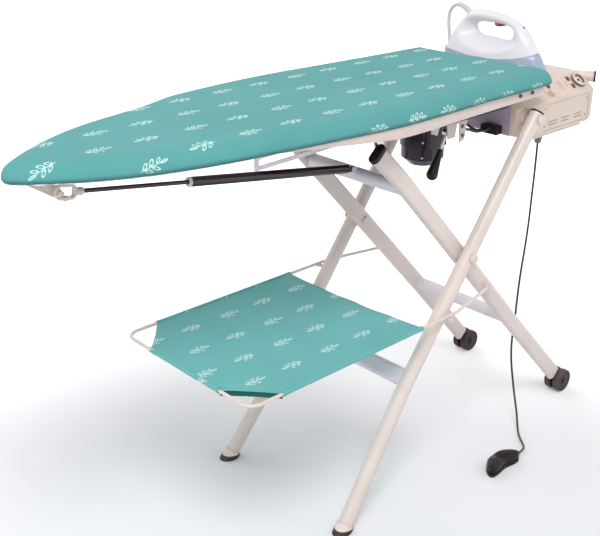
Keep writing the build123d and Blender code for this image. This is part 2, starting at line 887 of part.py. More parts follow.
with BuildPart() as wheel_forks:
    for side in sides:
        end = on_a(a_tube_end, side * a_side_y(a_tube_end))
        bend = on_a(-a_lower_bend, side * a_leg_y)
        down = (end - bend).normalized()
        rim = Plane(origin=end, x_dir=a_wide, z_dir=down)
        with BuildSketch(rim):
            SlotOverall(a_tube_width - 2 * a_tube_wall, a_tube_thickness - 2 * a_tube_wall)
        extrude(amount=-plug_depth)
        with BuildSketch(rim):
            SlotOverall(a_tube_width, a_tube_thickness)
        extrude(amount=fork_collar)
        with BuildSketch(across(wheel_axle_x, wheel_axle_z, side * a_wheel_y)):
            Circle(fork_tongue_radius)
            with Locations(Vector(end.X - wheel_axle_x, end.Z - wheel_axle_z)):
                Circle(fork_tongue_radius)
            make_hull()
        extrude(amount=fork_tongue / 2, both=True)
        with BuildSketch(across(wheel_axle_x, wheel_axle_z, side * a_wheel_y)):
            Circle(axle_diameter / 2)
        extrude(amount=fork_side_y + wheel_width + wheel_side_gap, both=True)
        for end_side in sides:
            cap_y = side * a_wheel_y + end_side * (fork_side_y + wheel_width + wheel_side_gap)
            with BuildSketch(
                Plane(origin=(wheel_axle_x, cap_y, wheel_axle_z), z_dir=(0, end_side, 0))
            ):
                Circle(axle_head_diameter / 2)
            extrude(amount=axle_head_height)
write(wheel_forks.part, "wheel_forks")

# Clothes shelf: one bent wire with an eye at each end, and its cloth
with BuildPart() as shelf_frame:
    for side in sides:
        with BuildSketch(across(shelf_hinge_x, shelf_z, side * shelf_hinge_y)):
            Circle(shelf_eye_diameter / 2)
        extrude(amount=shelf_eye_width / 2, both=True)
    with BuildLine() as wire:
        FilletPolyline(
            (shelf_hinge_x - shelf_eye_radius + shelf_wire_bite, -shelf_hinge_y, shelf_z),
            (shelf_bend_x, -shelf_half_width, shelf_z),
            (shelf_end_x, -shelf_half_width, shelf_z),
            (shelf_end_x, shelf_half_width, shelf_z),
            (shelf_bend_x, shelf_half_width, shelf_z),
            (shelf_hinge_x - shelf_eye_radius + shelf_wire_bite, shelf_hinge_y, shelf_z),
            radius=[
                shelf_bend_radius,
                shelf_corner_radius,
                shelf_corner_radius,
                shelf_bend_radius,
            ],
        )
    with BuildSketch(Plane(origin=wire.line @ 0, z_dir=wire.line % 0)):
        Circle(shelf_wire / 2)
    sweep()
    with BuildSketch(across(shelf_hinge_x, shelf_z)):
        Circle(shelf_peg_diameter / 2 + running_gap)
    extrude(amount=2 * shelf_hinge_y, both=True, mode=Mode.SUBTRACT)
write(shelf_frame.part, "shelf_frame")

sleeve_bore = shelf_wire / 2 + soft_gap
sleeve_radius = sleeve_bore + sleeve_wall
clip_end_x = shelf_end_x + cloth_clip_x
with BuildPart() as shelf_cloth:
    with BuildSketch(Plane.XY.offset(shelf_z - cloth_thickness / 2)):
        with BuildLine():
            Polyline(
                (cloth_front_x, -shelf_half_width),
                (clip_end_x, -shelf_half_width),
                (shelf_end_x, -shelf_half_width + cloth_clip_y),
                (shelf_end_x, shelf_half_width - cloth_clip_y),
                (clip_end_x, shelf_half_width),
                (cloth_front_x - cloth_front_skew, shelf_half_width),
                close=True,
            )
        make_face()
    extrude(amount=cloth_thickness)
    for side in sides:
        with BuildSketch(Plane(origin=(clip_end_x, side * shelf_half_width, shelf_z), z_dir=(1, 0, 0))):
            Circle(sleeve_radius)
        extrude(amount=cloth_front_x - (side + 1) / 2 * cloth_front_skew - clip_end_x)
    with BuildSketch(across(shelf_end_x, shelf_z)):
        Circle(sleeve_radius)
    extrude(amount=shelf_half_width - cloth_clip_y, both=True)
    for side in sides:
        with BuildSketch(Plane(origin=(shelf_end_x, side * shelf_half_width, shelf_z), z_dir=(1, 0, 0))):
            Circle(sleeve_bore)
        extrude(amount=cloth_front_x - shelf_end_x, mode=Mode.SUBTRACT)
    with BuildSketch(across(shelf_end_x, shelf_z)):
        Circle(sleeve_bore)
    extrude(amount=shelf_half_width, both=True, mode=Mode.SUBTRACT)
write(shelf_cloth.part, "shelf_cloth")


def headed_peg(x, z, side, root_y, tip_y):
    """Peg out of a leg's side with a head that keeps the shelf on."""
    with BuildPart() as peg:
        with BuildSketch(Plane(origin=(x, side * root_y, z), z_dir=(0, side, 0))):
            Circle(shelf_peg_diameter / 2)
        extrude(amount=tip_y - root_y)
        with BuildSketch(Plane(origin=(x, side * tip_y, z), z_dir=(0, side, 0))):
            Circle(shelf_peg_head / 2)
        extrude(amount=shelf_peg_head_height)
    return peg.part


hinge_root_y = a_leg_y + a_tube_thickness / 2
hinge_tip_y = shelf_hinge_y + shelf_eye_width / 2 + soft_gap
hinge_pegs = [headed_peg(shelf_hinge_x, shelf_z, side, hinge_root_y, hinge_tip_y) for side in sides]
write(Compound(children=hinge_pegs), "shelf_hinge_pegs")

# Pegs on the other legs, on which the shelf's wire rests
rest_z = shelf_z - shelf_wire / 2 - soft_gap - shelf_peg_diameter / 2
rest_x = scissor_x - (scissor_z - rest_z) * b_up.X / b_up.Z
rest_root_y = b_leg_y + b_tube_diameter / 2
rest_tip_y = shelf_half_width + shelf_wire
rest_pegs = [headed_peg(rest_x, rest_z, side, rest_root_y, rest_tip_y) for side in sides]
write(Compound(children=rest_pegs), "shelf_rest_pegs")

# Gas spring: a cylinder on the crossbar's bracket and a rod that slides out of it
spring_length = math.hypot(spring_pin_x - spring_eye_x, spring_pin_z - spring_eye_z)
spring_out = unit(spring_pin_x - spring_eye_x, spring_pin_z - spring_eye_z)


def on_spring(along):
    return Plane(
        origin=(spring_eye_x + spring_out.X * along, 0, spring_eye_z + spring_out.Z * along),
        x_dir=(0, 1, 0),
        z_dir=spring_out,
    )


spring_bore = spring_cylinder_diameter / 2 - spring_cylinder_wall
with BuildPart() as gas_cylinder:
    with BuildSketch(across(spring_eye_x, spring_eye_z)):
        Circle(spring_eye_radius)
        with Locations(Vector(spring_out.X, spring_out.Z) * spring_cylinder_start):
            Circle(spring_eye_radius)
        make_hull()
    extrude(amount=spring_eye_width / 2, both=True)
    with BuildSketch(on_spring(spring_cylinder_start)):
        Circle(spring_cylinder_diameter / 2)
    extrude(amount=spring_cylinder_end - spring_cylinder_start)
    fillet(gas_cylinder.edges().filter_by(GeomType.CIRCLE).sort_by(Axis.X)[0], spring_cylinder_wall / 2)
    with BuildSketch(on_spring(spring_cylinder_end - spring_mouth)):
        Circle(spring_bore)
    extrude(amount=-(spring_stroke + 3 * spring_piston_length), mode=Mode.SUBTRACT)
    with BuildSketch(on_spring(spring_cylinder_end)):
        Circle(spring_rod_diameter / 2 + running_gap)
    extrude(amount=-2 * spring_mouth, mode=Mode.SUBTRACT)
    with BuildSketch(across(spring_eye_x, spring_eye_z)):
        Circle(spring_pin_diameter / 2 + running_gap)
    extrude(amount=spring_eye_width, both=True, mode=Mode.SUBTRACT)
write(gas_cylinder.part, "gas_cylinder")

window_length = window_toward_eye + spring_pin_diameter + 2 * window_gap
window_height = window_up + window_down + spring_pin_diameter + 2 * window_gap
window_middle = spring_length - window_toward_eye / 2
window_shift = (window_up - window_down) / 2
fitting_start = spring_length - window_toward_eye - spring_pin_diameter / 2 - window_gap - window_rim
spring_side = Plane(
    origin=on_spring(window_middle).origin, x_dir=-spring_out, z_dir=(0, -1, 0)
)
with BuildPart() as gas_rod:
    with BuildSketch(on_spring(spring_cylinder_end - spring_mouth - 2 * spring_piston_length)):
        Circle(spring_rod_diameter / 2)
    extrude(amount=fitting_start - spring_cylinder_end + spring_mouth + 2 * spring_piston_length)
    with BuildSketch(on_spring(spring_cylinder_end - spring_mouth - 2 * spring_piston_length)):
        Circle(spring_bore - running_gap)
    extrude(amount=spring_piston_length)
    with BuildSketch(on_spring(fitting_start)):
        Circle(spring_collar_diameter / 2)
    extrude(amount=-spring_collar_length)
    with BuildSketch(spring_side):
        with Locations((0, window_shift)):
            RectangleRounded(
                window_length + 2 * window_rim, window_height + 2 * window_rim, window_rim * 2
            )
            RectangleRounded(window_length, window_height, window_rim / 2, mode=Mode.SUBTRACT)
    extrude(amount=fitting_thickness / 2, both=True)
write(gas_rod.part, "gas_rod")

# Bracket at the nose: a flange under the sheet, a bent plate and the spring's pin
plate_y = fitting_thickness / 2 + 2 * soft_gap
bracket_top_z = sheet_top_z - sheet_thickness
with BuildPart() as nose_bracket:
    with BuildSketch(Plane.XZ.offset(-plate_y - bracket_plate)):
        with BuildLine():
            Polyline(
                (spring_pin_x - 1.9 * nose_plate_width, bracket_top_z),
                (spring_pin_x - 1.6 * nose_plate_width, spring_pin_z + 0.7 * nose_plate_width),
                (spring_pin_x - 0.2 * nose_plate_width, spring_pin_z - 0.25 * nose_plate_width),
                (spring_pin_x + 0.25 * nose_plate_width, spring_pin_z),
                (spring_pin_x - 0.1 * nose_plate_width, spring_pin_z + 0.7 * nose_plate_width),
                (spring_pin_x, bracket_top_z),
                close=True,
            )
        make_face()
    extrude(amount=bracket_plate)
    with BuildSketch(Plane.XY.offset(bracket_top_z)):
        with Locations((spring_pin_x - 0.9 * nose_plate_width, 0)):
            Rectangle(1.9 * nose_plate_width, 1.2 * nose_plate_width)
    extrude(amount=-bracket_plate)
    with BuildSketch(across(spring_pin_x, spring_pin_z)):
        Circle(spring_pin_diameter / 2)
    extrude(amount=plate_y + spring_ring_width, both=True)
    with BuildSketch(across(spring_pin_x, spring_pin_z, -plate_y)):
        Circle(spring_ring_diameter / 2)
    extrude(amount=spring_ring_width)
write(nose_bracket.part, "nose_bracket")

# Boiler box: rounded side outline, bevelled at the front for the controls
housing_tail_x = housing_nose_x + housing_length
bevel_middle = (-(bevel_inner_y + housing_half_width) / 2, (bevel_outer_z + housing_top_z) / 2)
bevel_rise = housing_top_z - bevel_outer_z
bevel_run = housing_half_width - bevel_inner_y
bevel = Plane(
    origin=(housing_nose_x, *bevel_middle), x_dir=(1, 0, 0), z_dir=(0, -bevel_rise, bevel_run)
)
base_top_z = housing_bottom_z + base_thickness
seat_gap_x = board_tail_x + 2 * soft_gap
panel_length = housing_length - panel_start - panel_end_gap
panel_height = bevel_outer_z - housing_bottom_z - panel_bottom_gap - panel_top_gap
panel_middle = (
    housing_nose_x + panel_start + panel_length / 2,
    housing_bottom_z + panel_bottom_gap + panel_height / 2,
)
tube_turn = math.radians(socket_tube_turn)
tube_out = Vector(math.sin(tube_turn), -math.cos(tube_turn), 0)
tube_root = Vector(
    housing_tail_x - socket_root_in / 2,
    -bevel_inner_y + socket_root_in,
    housing_top_z - socket_tube_diameter / 2,
)
tube_end = tube_root + tube_out * (socket_tube_length + socket_root_in)
switch_places = [
    (switch_along, switch_up - switch_spacing / 2),
    (switch_along, switch_up + switch_spacing / 2),
]
with BuildPart() as boiler_housing:
    with BuildSketch(Plane.XZ):
        with BuildLine():
            Polyline(
                (housing_nose_x, housing_top_z),
                (housing_tail_x, housing_top_z),
                (housing_tail_x, base_top_z),
                (housing_nose_x + housing_nose_slant, base_top_z),
                (housing_nose_x, base_top_z + housing_nose_rise),
                close=True,
            )
        outline = make_face()
        fillet(outline.vertices().group_by(Axis.X)[-1].sort_by(Axis.Y)[0], housing_corner - base_thickness)
        fillet(outline.vertices().group_by(Axis.X)[-1].sort_by(Axis.Y)[-1], housing_edge)
    extrude(amount=housing_half_width, both=True)
    with BuildSketch(Plane.YZ.offset(housing_nose_x)):
        with BuildLine():
            Polyline(
                (-housing_half_width, base_top_z),
                (-housing_half_width, bevel_outer_z),
                (-bevel_inner_y, housing_top_z),
                (housing_half_width, housing_top_z),
                (housing_half_width, base_top_z),
                close=True,
            )
        section = make_face()
        fillet(section.vertices().group_by(Axis.Y)[1:], housing_edge)
    extrude(amount=housing_length, mode=Mode.INTERSECT)
    with BuildSketch(Plane(origin=tube_root, z_dir=tube_out)):
        Circle(socket_tube_diameter / 2)
    extrude(amount=socket_tube_length + socket_root_in)
    with BuildSketch(Plane(origin=tube_end, z_dir=tube_out)):
        Circle(socket_tube_diameter / 2 - socket_tube_wall)
    extrude(amount=-socket_tube_length, mode=Mode.SUBTRACT)
    for side in sides:
        boss = Plane(origin=(top_pivot_x, side * housing_half_width, top_pivot_z), z_dir=(0, side, 0))
        with BuildSketch(boss):
            Circle(pivot_boss_diameter / 2)
            Circle(bolt_diameter / 2 + running_gap, mode=Mode.SUBTRACT)
        extrude(amount=b_leg_y - b_tube_diameter / 2 - soft_gap - housing_half_width)
    with BuildSketch(Plane.XY.offset(pan_floor_z)):
        with Locations((seat_gap_x - board_half_width, 0)):
            Rectangle(2 * board_half_width, 2 * board_half_width)
    extrude(amount=housing_top_z - pan_floor_z, mode=Mode.SUBTRACT)
    with BuildSketch(Plane.XZ.offset(housing_half_width)):
        with Locations(panel_middle):
            RectangleRounded(panel_length, panel_height, panel_corner)
    extrude(amount=-panel_depth, mode=Mode.SUBTRACT)
    with BuildSketch(bevel):
        with Locations(*switch_places):
            Rectangle(rocker_width + 2 * rocker_gap, rocker_length + 2 * rocker_gap)
    extrude(amount=-rocker_pocket, mode=Mode.SUBTRACT)
    with BuildSketch(bevel):
        with Locations((knob_along, knob_up)):
            Circle(knob_stem_diameter / 2 + running_gap)
    extrude(amount=-knob_stem, mode=Mode.SUBTRACT)
    with BuildSketch(bevel):
        with Locations((dish_along, dish_up)):
            SlotOverall(dish_length, dish_width)
    extrude(amount=-dish_depth, mode=Mode.SUBTRACT)
write(boiler_housing.part, "boiler_housing")

# Tray that closes the box below
with BuildPart() as boiler_base:
    with BuildSketch(Plane.XY.offset(housing_bottom_z)):
        with Locations(
            (
                housing_nose_x + (housing_length + housing_nose_slant - housing_corner) / 2,
                0,
            )
        ):
            RectangleRounded(
                housing_length - housing_nose_slant - housing_corner,
                2 * (housing_half_width - base_inset),
                housing_corner / 2,
            )
    extrude(amount=base_thickness)
    chamfer(boiler_base.edges().group_by(Axis.Z)[0], base_inset)
write(boiler_base.part, "boiler_base")

# Side panel with pressed slots
with BuildPart() as side_panel:
    with BuildSketch(Plane.XZ.offset(housing_half_width - panel_depth)):
        with Locations(panel_middle):
            RectangleRounded(
                panel_length - 2 * soft_gap, panel_height - 2 * soft_gap, panel_corner - soft_gap
            )
    extrude(amount=panel_thickness)
    with BuildSketch(Plane.XZ.offset(housing_half_width - panel_depth + panel_thickness)):
        with Locations((panel_middle[0], panel_middle[1] - panel_height / 4)):
            with GridLocations(panel_slot_step, panel_slot_rise, panel_slot_columns, panel_slot_rows):
                SlotOverall(panel_slot_length, panel_slot_width)
    extrude(amount=-panel_slot_depth, mode=Mode.SUBTRACT)
write(side_panel.part, "side_panel")

# Dark collar round the mouth of the socket tube
with BuildPart() as socket_ring:
    with BuildSketch(Plane(origin=tube_end, z_dir=tube_out)):
        Circle(socket_tube_diameter / 2 + socket_ring_rim)
        Circle(socket_tube_diameter / 2, mode=Mode.SUBTRACT)
    extrude(amount=-socket_ring_length)
write(socket_ring.part, "socket_ring")

# Pressure gauge: case, and the needle on its pin
with BuildPart() as gauge_case:
    with BuildSketch(bevel):
        with Locations((gauge_along, gauge_up)):
            Circle(gauge_diameter / 2)
    extrude(amount=gauge_height)
    fillet(gauge_case.edges().sort_by(Axis.Z)[-1], gauge_rim / 3)
    with BuildSketch(bevel.offset(gauge_floor)):
        with Locations((gauge_along, gauge_up)):
            Circle(gauge_diameter / 2 - gauge_rim)
    extrude(amount=gauge_height, mode=Mode.SUBTRACT)
    with BuildSketch(bevel.offset(gauge_floor / 2)):
        with Locations((gauge_along, gauge_up)):
            Circle(needle_pin_diameter / 2 + running_gap)
    extrude(amount=gauge_floor, mode=Mode.SUBTRACT)
write(gauge_case.part, "gauge_case")

with BuildPart() as gauge_needle:
    with BuildSketch(bevel.offset(gauge_floor / 2 + running_gap)):
        with Locations((gauge_along, gauge_up)):
            Circle(needle_pin_diameter / 2)
    extrude(amount=gauge_floor)
    with BuildSketch(bevel.offset(gauge_floor + 2 * soft_gap)):
        with Locations((gauge_along, gauge_up)):
            Circle(needle_hub_diameter / 2)
            Rectangle(
                needle_length, needle_width, rotation=needle_rest_angle, align=(Align.MIN, Align.CENTER)
            )
    extrude(amount=needle_thickness)
write(gauge_needle.part, "gauge_needle")

# Two rocker switches in one bezel
with BuildPart() as switch_bezel:
    with BuildSketch(bevel):
        with Locations((switch_along, switch_up)):
            RectangleRounded(
                rocker_width + 2 * rocker_gap + 2 * bezel_rim,
                switch_spacing + rocker_length + 2 * rocker_gap + 2 * bezel_rim,
                bezel_rim,
            )
        with Locations(*switch_places):
            Rectangle(
                rocker_width + 2 * rocker_gap, rocker_length + 2 * rocker_gap, mode=Mode.SUBTRACT
            )
    extrude(amount=bezel_height)
write(switch_bezel.part, "switch_bezel")


def rocker(place):
    half = rocker_length / 2
    origin = bevel.from_local_coords(Vector(place[0], place[1], 0))
    with BuildPart() as part:
        with BuildSketch(Plane(origin=origin, x_dir=bevel.y_dir, z_dir=bevel.x_dir)):
            with BuildLine():
                Polyline(
                    (-half, -rocker_height / 3),
                    (0, -rocker_height * 2 / 3),
                    (half, -rocker_height / 3),
                    (half, rocker_height),
                    (0, rocker_height * 2 / 3),
                    (-half, rocker_height),
                    close=True,
                )
            make_face()
        extrude(amount=rocker_width / 2, both=True)
    return part.part


write(rocker(switch_places[0]), "rocker_lower")
write(rocker(switch_places[1]), "rocker_upper")

with BuildPart() as indicator_lamp:
    with BuildSketch(bevel):
        with Locations((lamp_along, lamp_up)):
            Circle(lamp_diameter / 2)
    extrude(amount=lamp_height)
    fillet(indicator_lamp.edges().sort_by(Axis.Z)[-1], lamp_height * 0.8)
write(indicator_lamp.part, "indicator_lamp")

with BuildPart() as steam_knob:
    with BuildSketch(bevel.offset(soft_gap)):
        with Locations((knob_along, knob_up)):
            Circle(knob_diameter / 2)
            with PolarLocations(knob_diameter / 2, knob_grooves):
                Circle(knob_groove_diameter / 2, mode=Mode.SUBTRACT)
    extrude(amount=knob_height)
    with BuildSketch(bevel.offset(soft_gap)):
        with Locations((knob_along, knob_up)):
            Circle(knob_stem_diameter / 2)
    extrude(amount=-knob_stem)
write(steam_knob.part, "steam_knob")

# Iron: sole outline from the tip at the front to the heel at the back
sole_z = housing_top_z + rest_thickness
sole_tail_y = iron_tip_y + iron_sole_length


def sole_face(inset, over=0):
    """Plan outline of the iron, drawn in by a distance and with a longer heel."""
    half = iron_sole_width / 2
    heel_y = sole_tail_y + over
    with BuildSketch() as plan:
        with BuildLine():
            flank = ThreePointArc(
                (iron_x, iron_tip_y),
                (iron_x + 0.66 * half, iron_tip_y + 0.28 * iron_sole_length),
                (iron_x + half, iron_tip_y + 0.66 * iron_sole_length),
            )
            back = TangentArc(flank @ 1, (iron_x + 0.86 * half, heel_y), tangent=flank % 1)
            mirror(flank, about=Plane.YZ.offset(iron_x))
            mirror(back, about=Plane.YZ.offset(iron_x))
            Line((iron_x + 0.86 * half, heel_y), (iron_x - 0.86 * half, heel_y))
        make_face()
        fillet(plan.vertices().sort_by(Axis.Y)[-2:], half / 3)
        fillet(plan.vertices().sort_by(Axis.Y)[0], half / 8)
        if inset:
            offset(amount=-inset)
    return plan.sketch


with BuildPart() as iron_rest:
    with BuildSketch(Plane.XY.offset(housing_top_z)):
        add(sole_face(0))
        with Locations((iron_x, sole_tail_y - bevel_inner_y - cut_over)):
            Rectangle(2 * iron_sole_width, 2 * bevel_inner_y + 2 * cut_over, mode=Mode.INTERSECT)
    extrude(amount=rest_thickness)
write(iron_rest.part, "iron_rest")

with BuildPart() as iron_soleplate:
    with BuildSketch(Plane.XY.offset(sole_z + running_gap)):
        add(sole_face(0))
    extrude(amount=iron_sole_thickness - running_gap)
write(iron_soleplate.part, "iron_soleplate")


heel_y = sole_tail_y + iron_tail_over
seam_tip = (iron_tip_y + iron_nose_rake, sole_z + iron_skirt_nose_top)
seam_low = ((iron_tip_y + 2 * heel_y) / 3, sole_z + iron_skirt_top)
seam_heel = (heel_y, sole_z + iron_skirt_top + iron_skirt_rise)
handle_top_z = sole_z + iron_height
hole_middle = (iron_tip_y + handle_hole_along, sole_z + handle_hole_up)

with BuildPart() as iron_skirt:
    with BuildSketch(Plane.XY.offset(sole_z + iron_sole_thickness)):
        add(sole_face(iron_skirt_step, iron_tail_over))
    extrude(amount=iron_skirt_nose_top, taper=iron_skirt_taper)
    with BuildSketch(Plane.YZ):
        with BuildLine():
            ThreePointArc(seam_tip, seam_low, seam_heel)
            Polyline(
                seam_heel,
                (heel_y, handle_top_z),
                (iron_tip_y - iron_nose_rake, handle_top_z),
                (iron_tip_y - iron_nose_rake, sole_z + iron_sole_thickness),
                (iron_tip_y, sole_z + iron_sole_thickness),
                seam_tip,
            )
        make_face()
    extrude(amount=iron_x + iron_sole_width, mode=Mode.SUBTRACT)
write(iron_skirt.part, "iron_skirt")

# White body with its handle
with BuildPart() as iron_body:
    with BuildSketch(Plane.XY.offset(sole_z + iron_skirt_top)):
        add(sole_face(iron_body_step, iron_tail_over))
    extrude(amount=iron_height - iron_skirt_top, taper=iron_body_taper)
    with BuildSketch(Plane.YZ):
        with BuildLine():
            ThreePointArc(seam_tip, seam_low, seam_heel)
            heel = ThreePointArc(
                seam_heel,
                (heel_y - iron_heel_lean / 4, sole_z + 0.62 * iron_height),
                (heel_y - iron_heel_lean, sole_z + 0.93 * iron_height),
            )
            top = ThreePointArc(
                heel @ 1,
                (iron_tip_y + handle_high_along, handle_top_z),
                (iron_tip_y + handle_front_along, sole_z + handle_front_share * iron_height),
            )
            TangentArc(top @ 1, seam_tip, tangent=top % 1)
        make_face()
    extrude(amount=iron_x + iron_sole_width, mode=Mode.INTERSECT)
    with BuildSketch(Plane.YZ):
        with Locations(hole_middle):
            RectangleRounded(handle_hole_length, handle_hole_height, handle_hole_height * 0.45)
    extrude(amount=iron_x + iron_sole_width, mode=Mode.SUBTRACT)
    with BuildSketch(Plane.XY.offset(hole_middle[1])):
        with Locations((iron_x, hole_middle[0] - trigger_length / 4)):
            Rectangle(trigger_width + 2 * rocker_gap, trigger_length + 2 * rocker_gap)
    extrude(amount=handle_hole_height / 2 + trigger_pocket, mode=Mode.SUBTRACT)
write(iron_body.part, "iron_body")

trigger_top_z = hole_middle[1] + handle_hole_height / 2 + trigger_pocket / 2
with BuildPart() as iron_trigger:
    with BuildSketch(Plane.XY.offset(trigger_top_z - trigger_height)):
        with Locations((iron_x, hole_middle[0] - trigger_length / 4)):
            Rectangle(trigger_width, trigger_length)
    extrude(amount=trigger_height)
    fillet(iron_trigger.edges().filter_by(Axis.X).group_by(Axis.Z)[0], trigger_height / 3)
    fillet(iron_trigger.edges().filter_by(Axis.Y).group_by(Axis.Z)[0], trigger_height / 5)
write(iron_trigger.part, "iron_trigger")

# Hose from the handle down to a gland at the back of the box
relief_out = unit(hose_points[1][0] - hose_points[0][0], hose_points[1][1] - hose_points[0][1])
relief_start = Vector(iron_x, hose_points[0][0], hose_points[0][1]) - Vector(
    0, relief_out.X, relief_out.Z
) * relief_length
with BuildPart() as hose_relief:
    with BuildSketch(Plane(origin=relief_start, z_dir=(0, relief_out.X, relief_out.Z))):
        Circle(hose_diameter * 0.8)
    extrude(amount=relief_length, taper=relief_taper)
    add(iron_body.part, mode=Mode.SUBTRACT)
write(hose_relief.part, "hose_relief")


def cord_radii(points):
    """Arc radius at each inner point: 0.45 of the shorter run over the tangent of half the turn."""
    radii = []
    for before, here, after in zip(points, points[1:], points[2:]):
        first, second = Vector(*here) - Vector(*before), Vector(*after) - Vector(*here)
        half_turn = math.radians(first.get_angle(second)) / 2
        radii.append(0.45 * min(first.length, second.length) / math.tan(half_turn))
    return radii


def cord_tube(points, diameter, name):
    radii = cord_radii(points)
    print(name, "radii", [round(radius) for radius in radii])
    with BuildPart() as tube:
        with BuildLine() as route:
            FilletPolyline(*points, radius=radii)
        with BuildSketch(Plane(origin=route.line @ 0, z_dir=route.line % 0)):
            Circle(diameter / 2)
        sweep()
    length = sum(edge.length for edge in route.edges())
    print(name, "volume", round(tube.part.volume))
    print(name, "section by length", round(math.pi * diameter**2 / 4 * length))
    return tube.part


hose_route = [(iron_x, y, z) for y, z in hose_points]
write(cord_tube(hose_route, hose_diameter, "iron_hose"), "iron_hose")

with BuildPart() as hose_gland:
    with BuildSketch(Plane(origin=(iron_x, housing_half_width, hose_gland_z), z_dir=(0, 1, 0))):
        RegularPolygon(hose_gland_diameter / 2, hexagon)
    extrude(amount=hose_gland_length / 2)
    with BuildSketch(Plane(origin=(iron_x, housing_half_width, hose_gland_z), z_dir=(0, 1, 0))):
        Circle(hose_gland_diameter * 0.35)
    extrude(amount=hose_gland_length)
write(hose_gland.part, "hose_gland")

# Height lever: bracket with its pin, the metal rod and the black grip
lever_down = unit(-lever_lean, -lever_drop)
lever_reach = math.hypot(lever_lean, lever_drop)
with BuildPart() as lever_bracket:
    with BuildSketch(across(lever_pivot_x, duct_bottom_z, lever_plate_y)):
        with BuildLine():
            Polyline(*[(x * lever_drop, z * lever_drop) for x, z in lever_plate_shares], close=True)
        make_face()
    extrude(amount=lever_plate_thickness / 2, both=True)
    with BuildSketch(Plane.XY.offset(duct_bottom_z)):
        with Locations((lever_pivot_x - 0.1 * lever_drop, lever_y)):
            Rectangle(1.4 * lever_drop, 2 * (lever_y - lever_plate_y) + lever_plate_thickness)
    extrude(amount=-lever_plate_thickness)
    with BuildSketch(across(lever_pivot_x, lever_pivot_z, lever_plate_y)):
        Circle(lever_pin_diameter / 2)
    extrude(amount=-(lever_y - lever_plate_y + lever_hub_width / 2 + soft_gap))
    with BuildSketch(
        across(lever_pivot_x, lever_pivot_z, lever_y + lever_hub_width / 2 + soft_gap)
    ):
        Circle(lever_pin_diameter)
    extrude(amount=-lever_plate_thickness)
write(lever_bracket.part, "lever_bracket")

lever_pivot = Vector(lever_pivot_x, lever_y, lever_pivot_z)
with BuildPart() as lever_rod:
    with BuildSketch(across(lever_pivot_x, lever_pivot_z, lever_y)):
        Circle(lever_hub_diameter / 2)
    extrude(amount=lever_hub_width / 2, both=True)
    with BuildSketch(Plane(origin=lever_pivot, z_dir=lever_down)):
        Circle(lever_rod_diameter / 2)
    extrude(amount=lever_rod_length)
    with BuildSketch(across(lever_pivot_x, lever_pivot_z, lever_y)):
        Circle(lever_pin_diameter / 2 + running_gap)
    extrude(amount=lever_hub_width, both=True, mode=Mode.SUBTRACT)
write(lever_rod.part, "lever_rod")

bulb_middle = lever_pivot + lever_down * lever_reach
with BuildPart() as lever_grip:
    with BuildSketch(Plane(origin=lever_pivot + lever_down * lever_rod_length, z_dir=lever_down)):
        Circle(lever_neck_diameter / 2)
    with BuildSketch(Plane(origin=bulb_middle, z_dir=lever_down)):
        Circle(lever_bulb_diameter / 2)
    loft()
    with Locations(bulb_middle):
        Sphere(lever_bulb_diameter / 2)
write(lever_grip.part, "lever_grip")

# Connector on the nose side of the box and the two cables of the fan and the lever's switch
with BuildPart() as connector_box:
    with BuildSketch(Plane.YZ.offset(housing_nose_x)):
        with Locations((connector_y, connector_z)):
            RectangleRounded(connector_size, connector_height, connector_height / 6)
    extrude(amount=-connector_depth)
write(connector_box.part, "connector_box")

cables = [
    cord_tube(switch_cable_points, cable_diameter, "switch cable"),
    cord_tube(fan_cable_points, cable_diameter, "fan cable"),
]
write(Compound(children=cables), "control_cables")

# Cord gland under the box
with BuildPart() as cord_gland:
    with BuildSketch(Plane.XY.offset(housing_bottom_z)):
        with Locations((cord_gland_x, cord_gland_y)):
            Circle(cord_gland_diameter / 2)
    extrude(amount=-cord_gland_length, taper=cord_gland_taper)
write(cord_gland.part, "cord_gland")
write(cord_tube(pedal_cord_points, cord_diameter, "pedal_cord"), "pedal_cord")

# Foot pedal: base with two ears and a pin, and the treadle that rocks on it
pedal_pin_y = pedal_y + pedal_width / 4
pedal_pin_z = pedal_base_height + pedal_gap + pedal_pin_diameter
ear_x = pedal_length / 4
with BuildPart() as pedal_base:
    with BuildSketch():
        with Locations((pedal_x, pedal_y)):
            Ellipse(pedal_length / 2, pedal_width / 2)
    extrude(amount=pedal_base_height)
    chamfer(pedal_base.edges().group_by(Axis.Z)[-1], pedal_edge / 4)
    with BuildSketch(Plane.XY.offset(pedal_base_height)):
        with Locations((pedal_x - ear_x, pedal_pin_y), (pedal_x + ear_x, pedal_pin_y)):
            Rectangle(pedal_pin_diameter, 2 * pedal_pin_diameter)
    extrude(amount=pedal_gap + 2 * pedal_pin_diameter)
    with BuildSketch(Plane(origin=(pedal_x, pedal_pin_y, pedal_pin_z), z_dir=(1, 0, 0))):
        Circle(pedal_pin_diameter / 2)
    extrude(amount=ear_x, both=True)
    with BuildSketch(Plane(origin=(pedal_x, pedal_y, pedal_cord_points[-1][2]), z_dir=(1, 0, 0))):
        Circle(pedal_collar_diameter / 2)
    extrude(amount=pedal_cord_points[-1][0] - pedal_x)
write(pedal_base.part, "pedal_base")

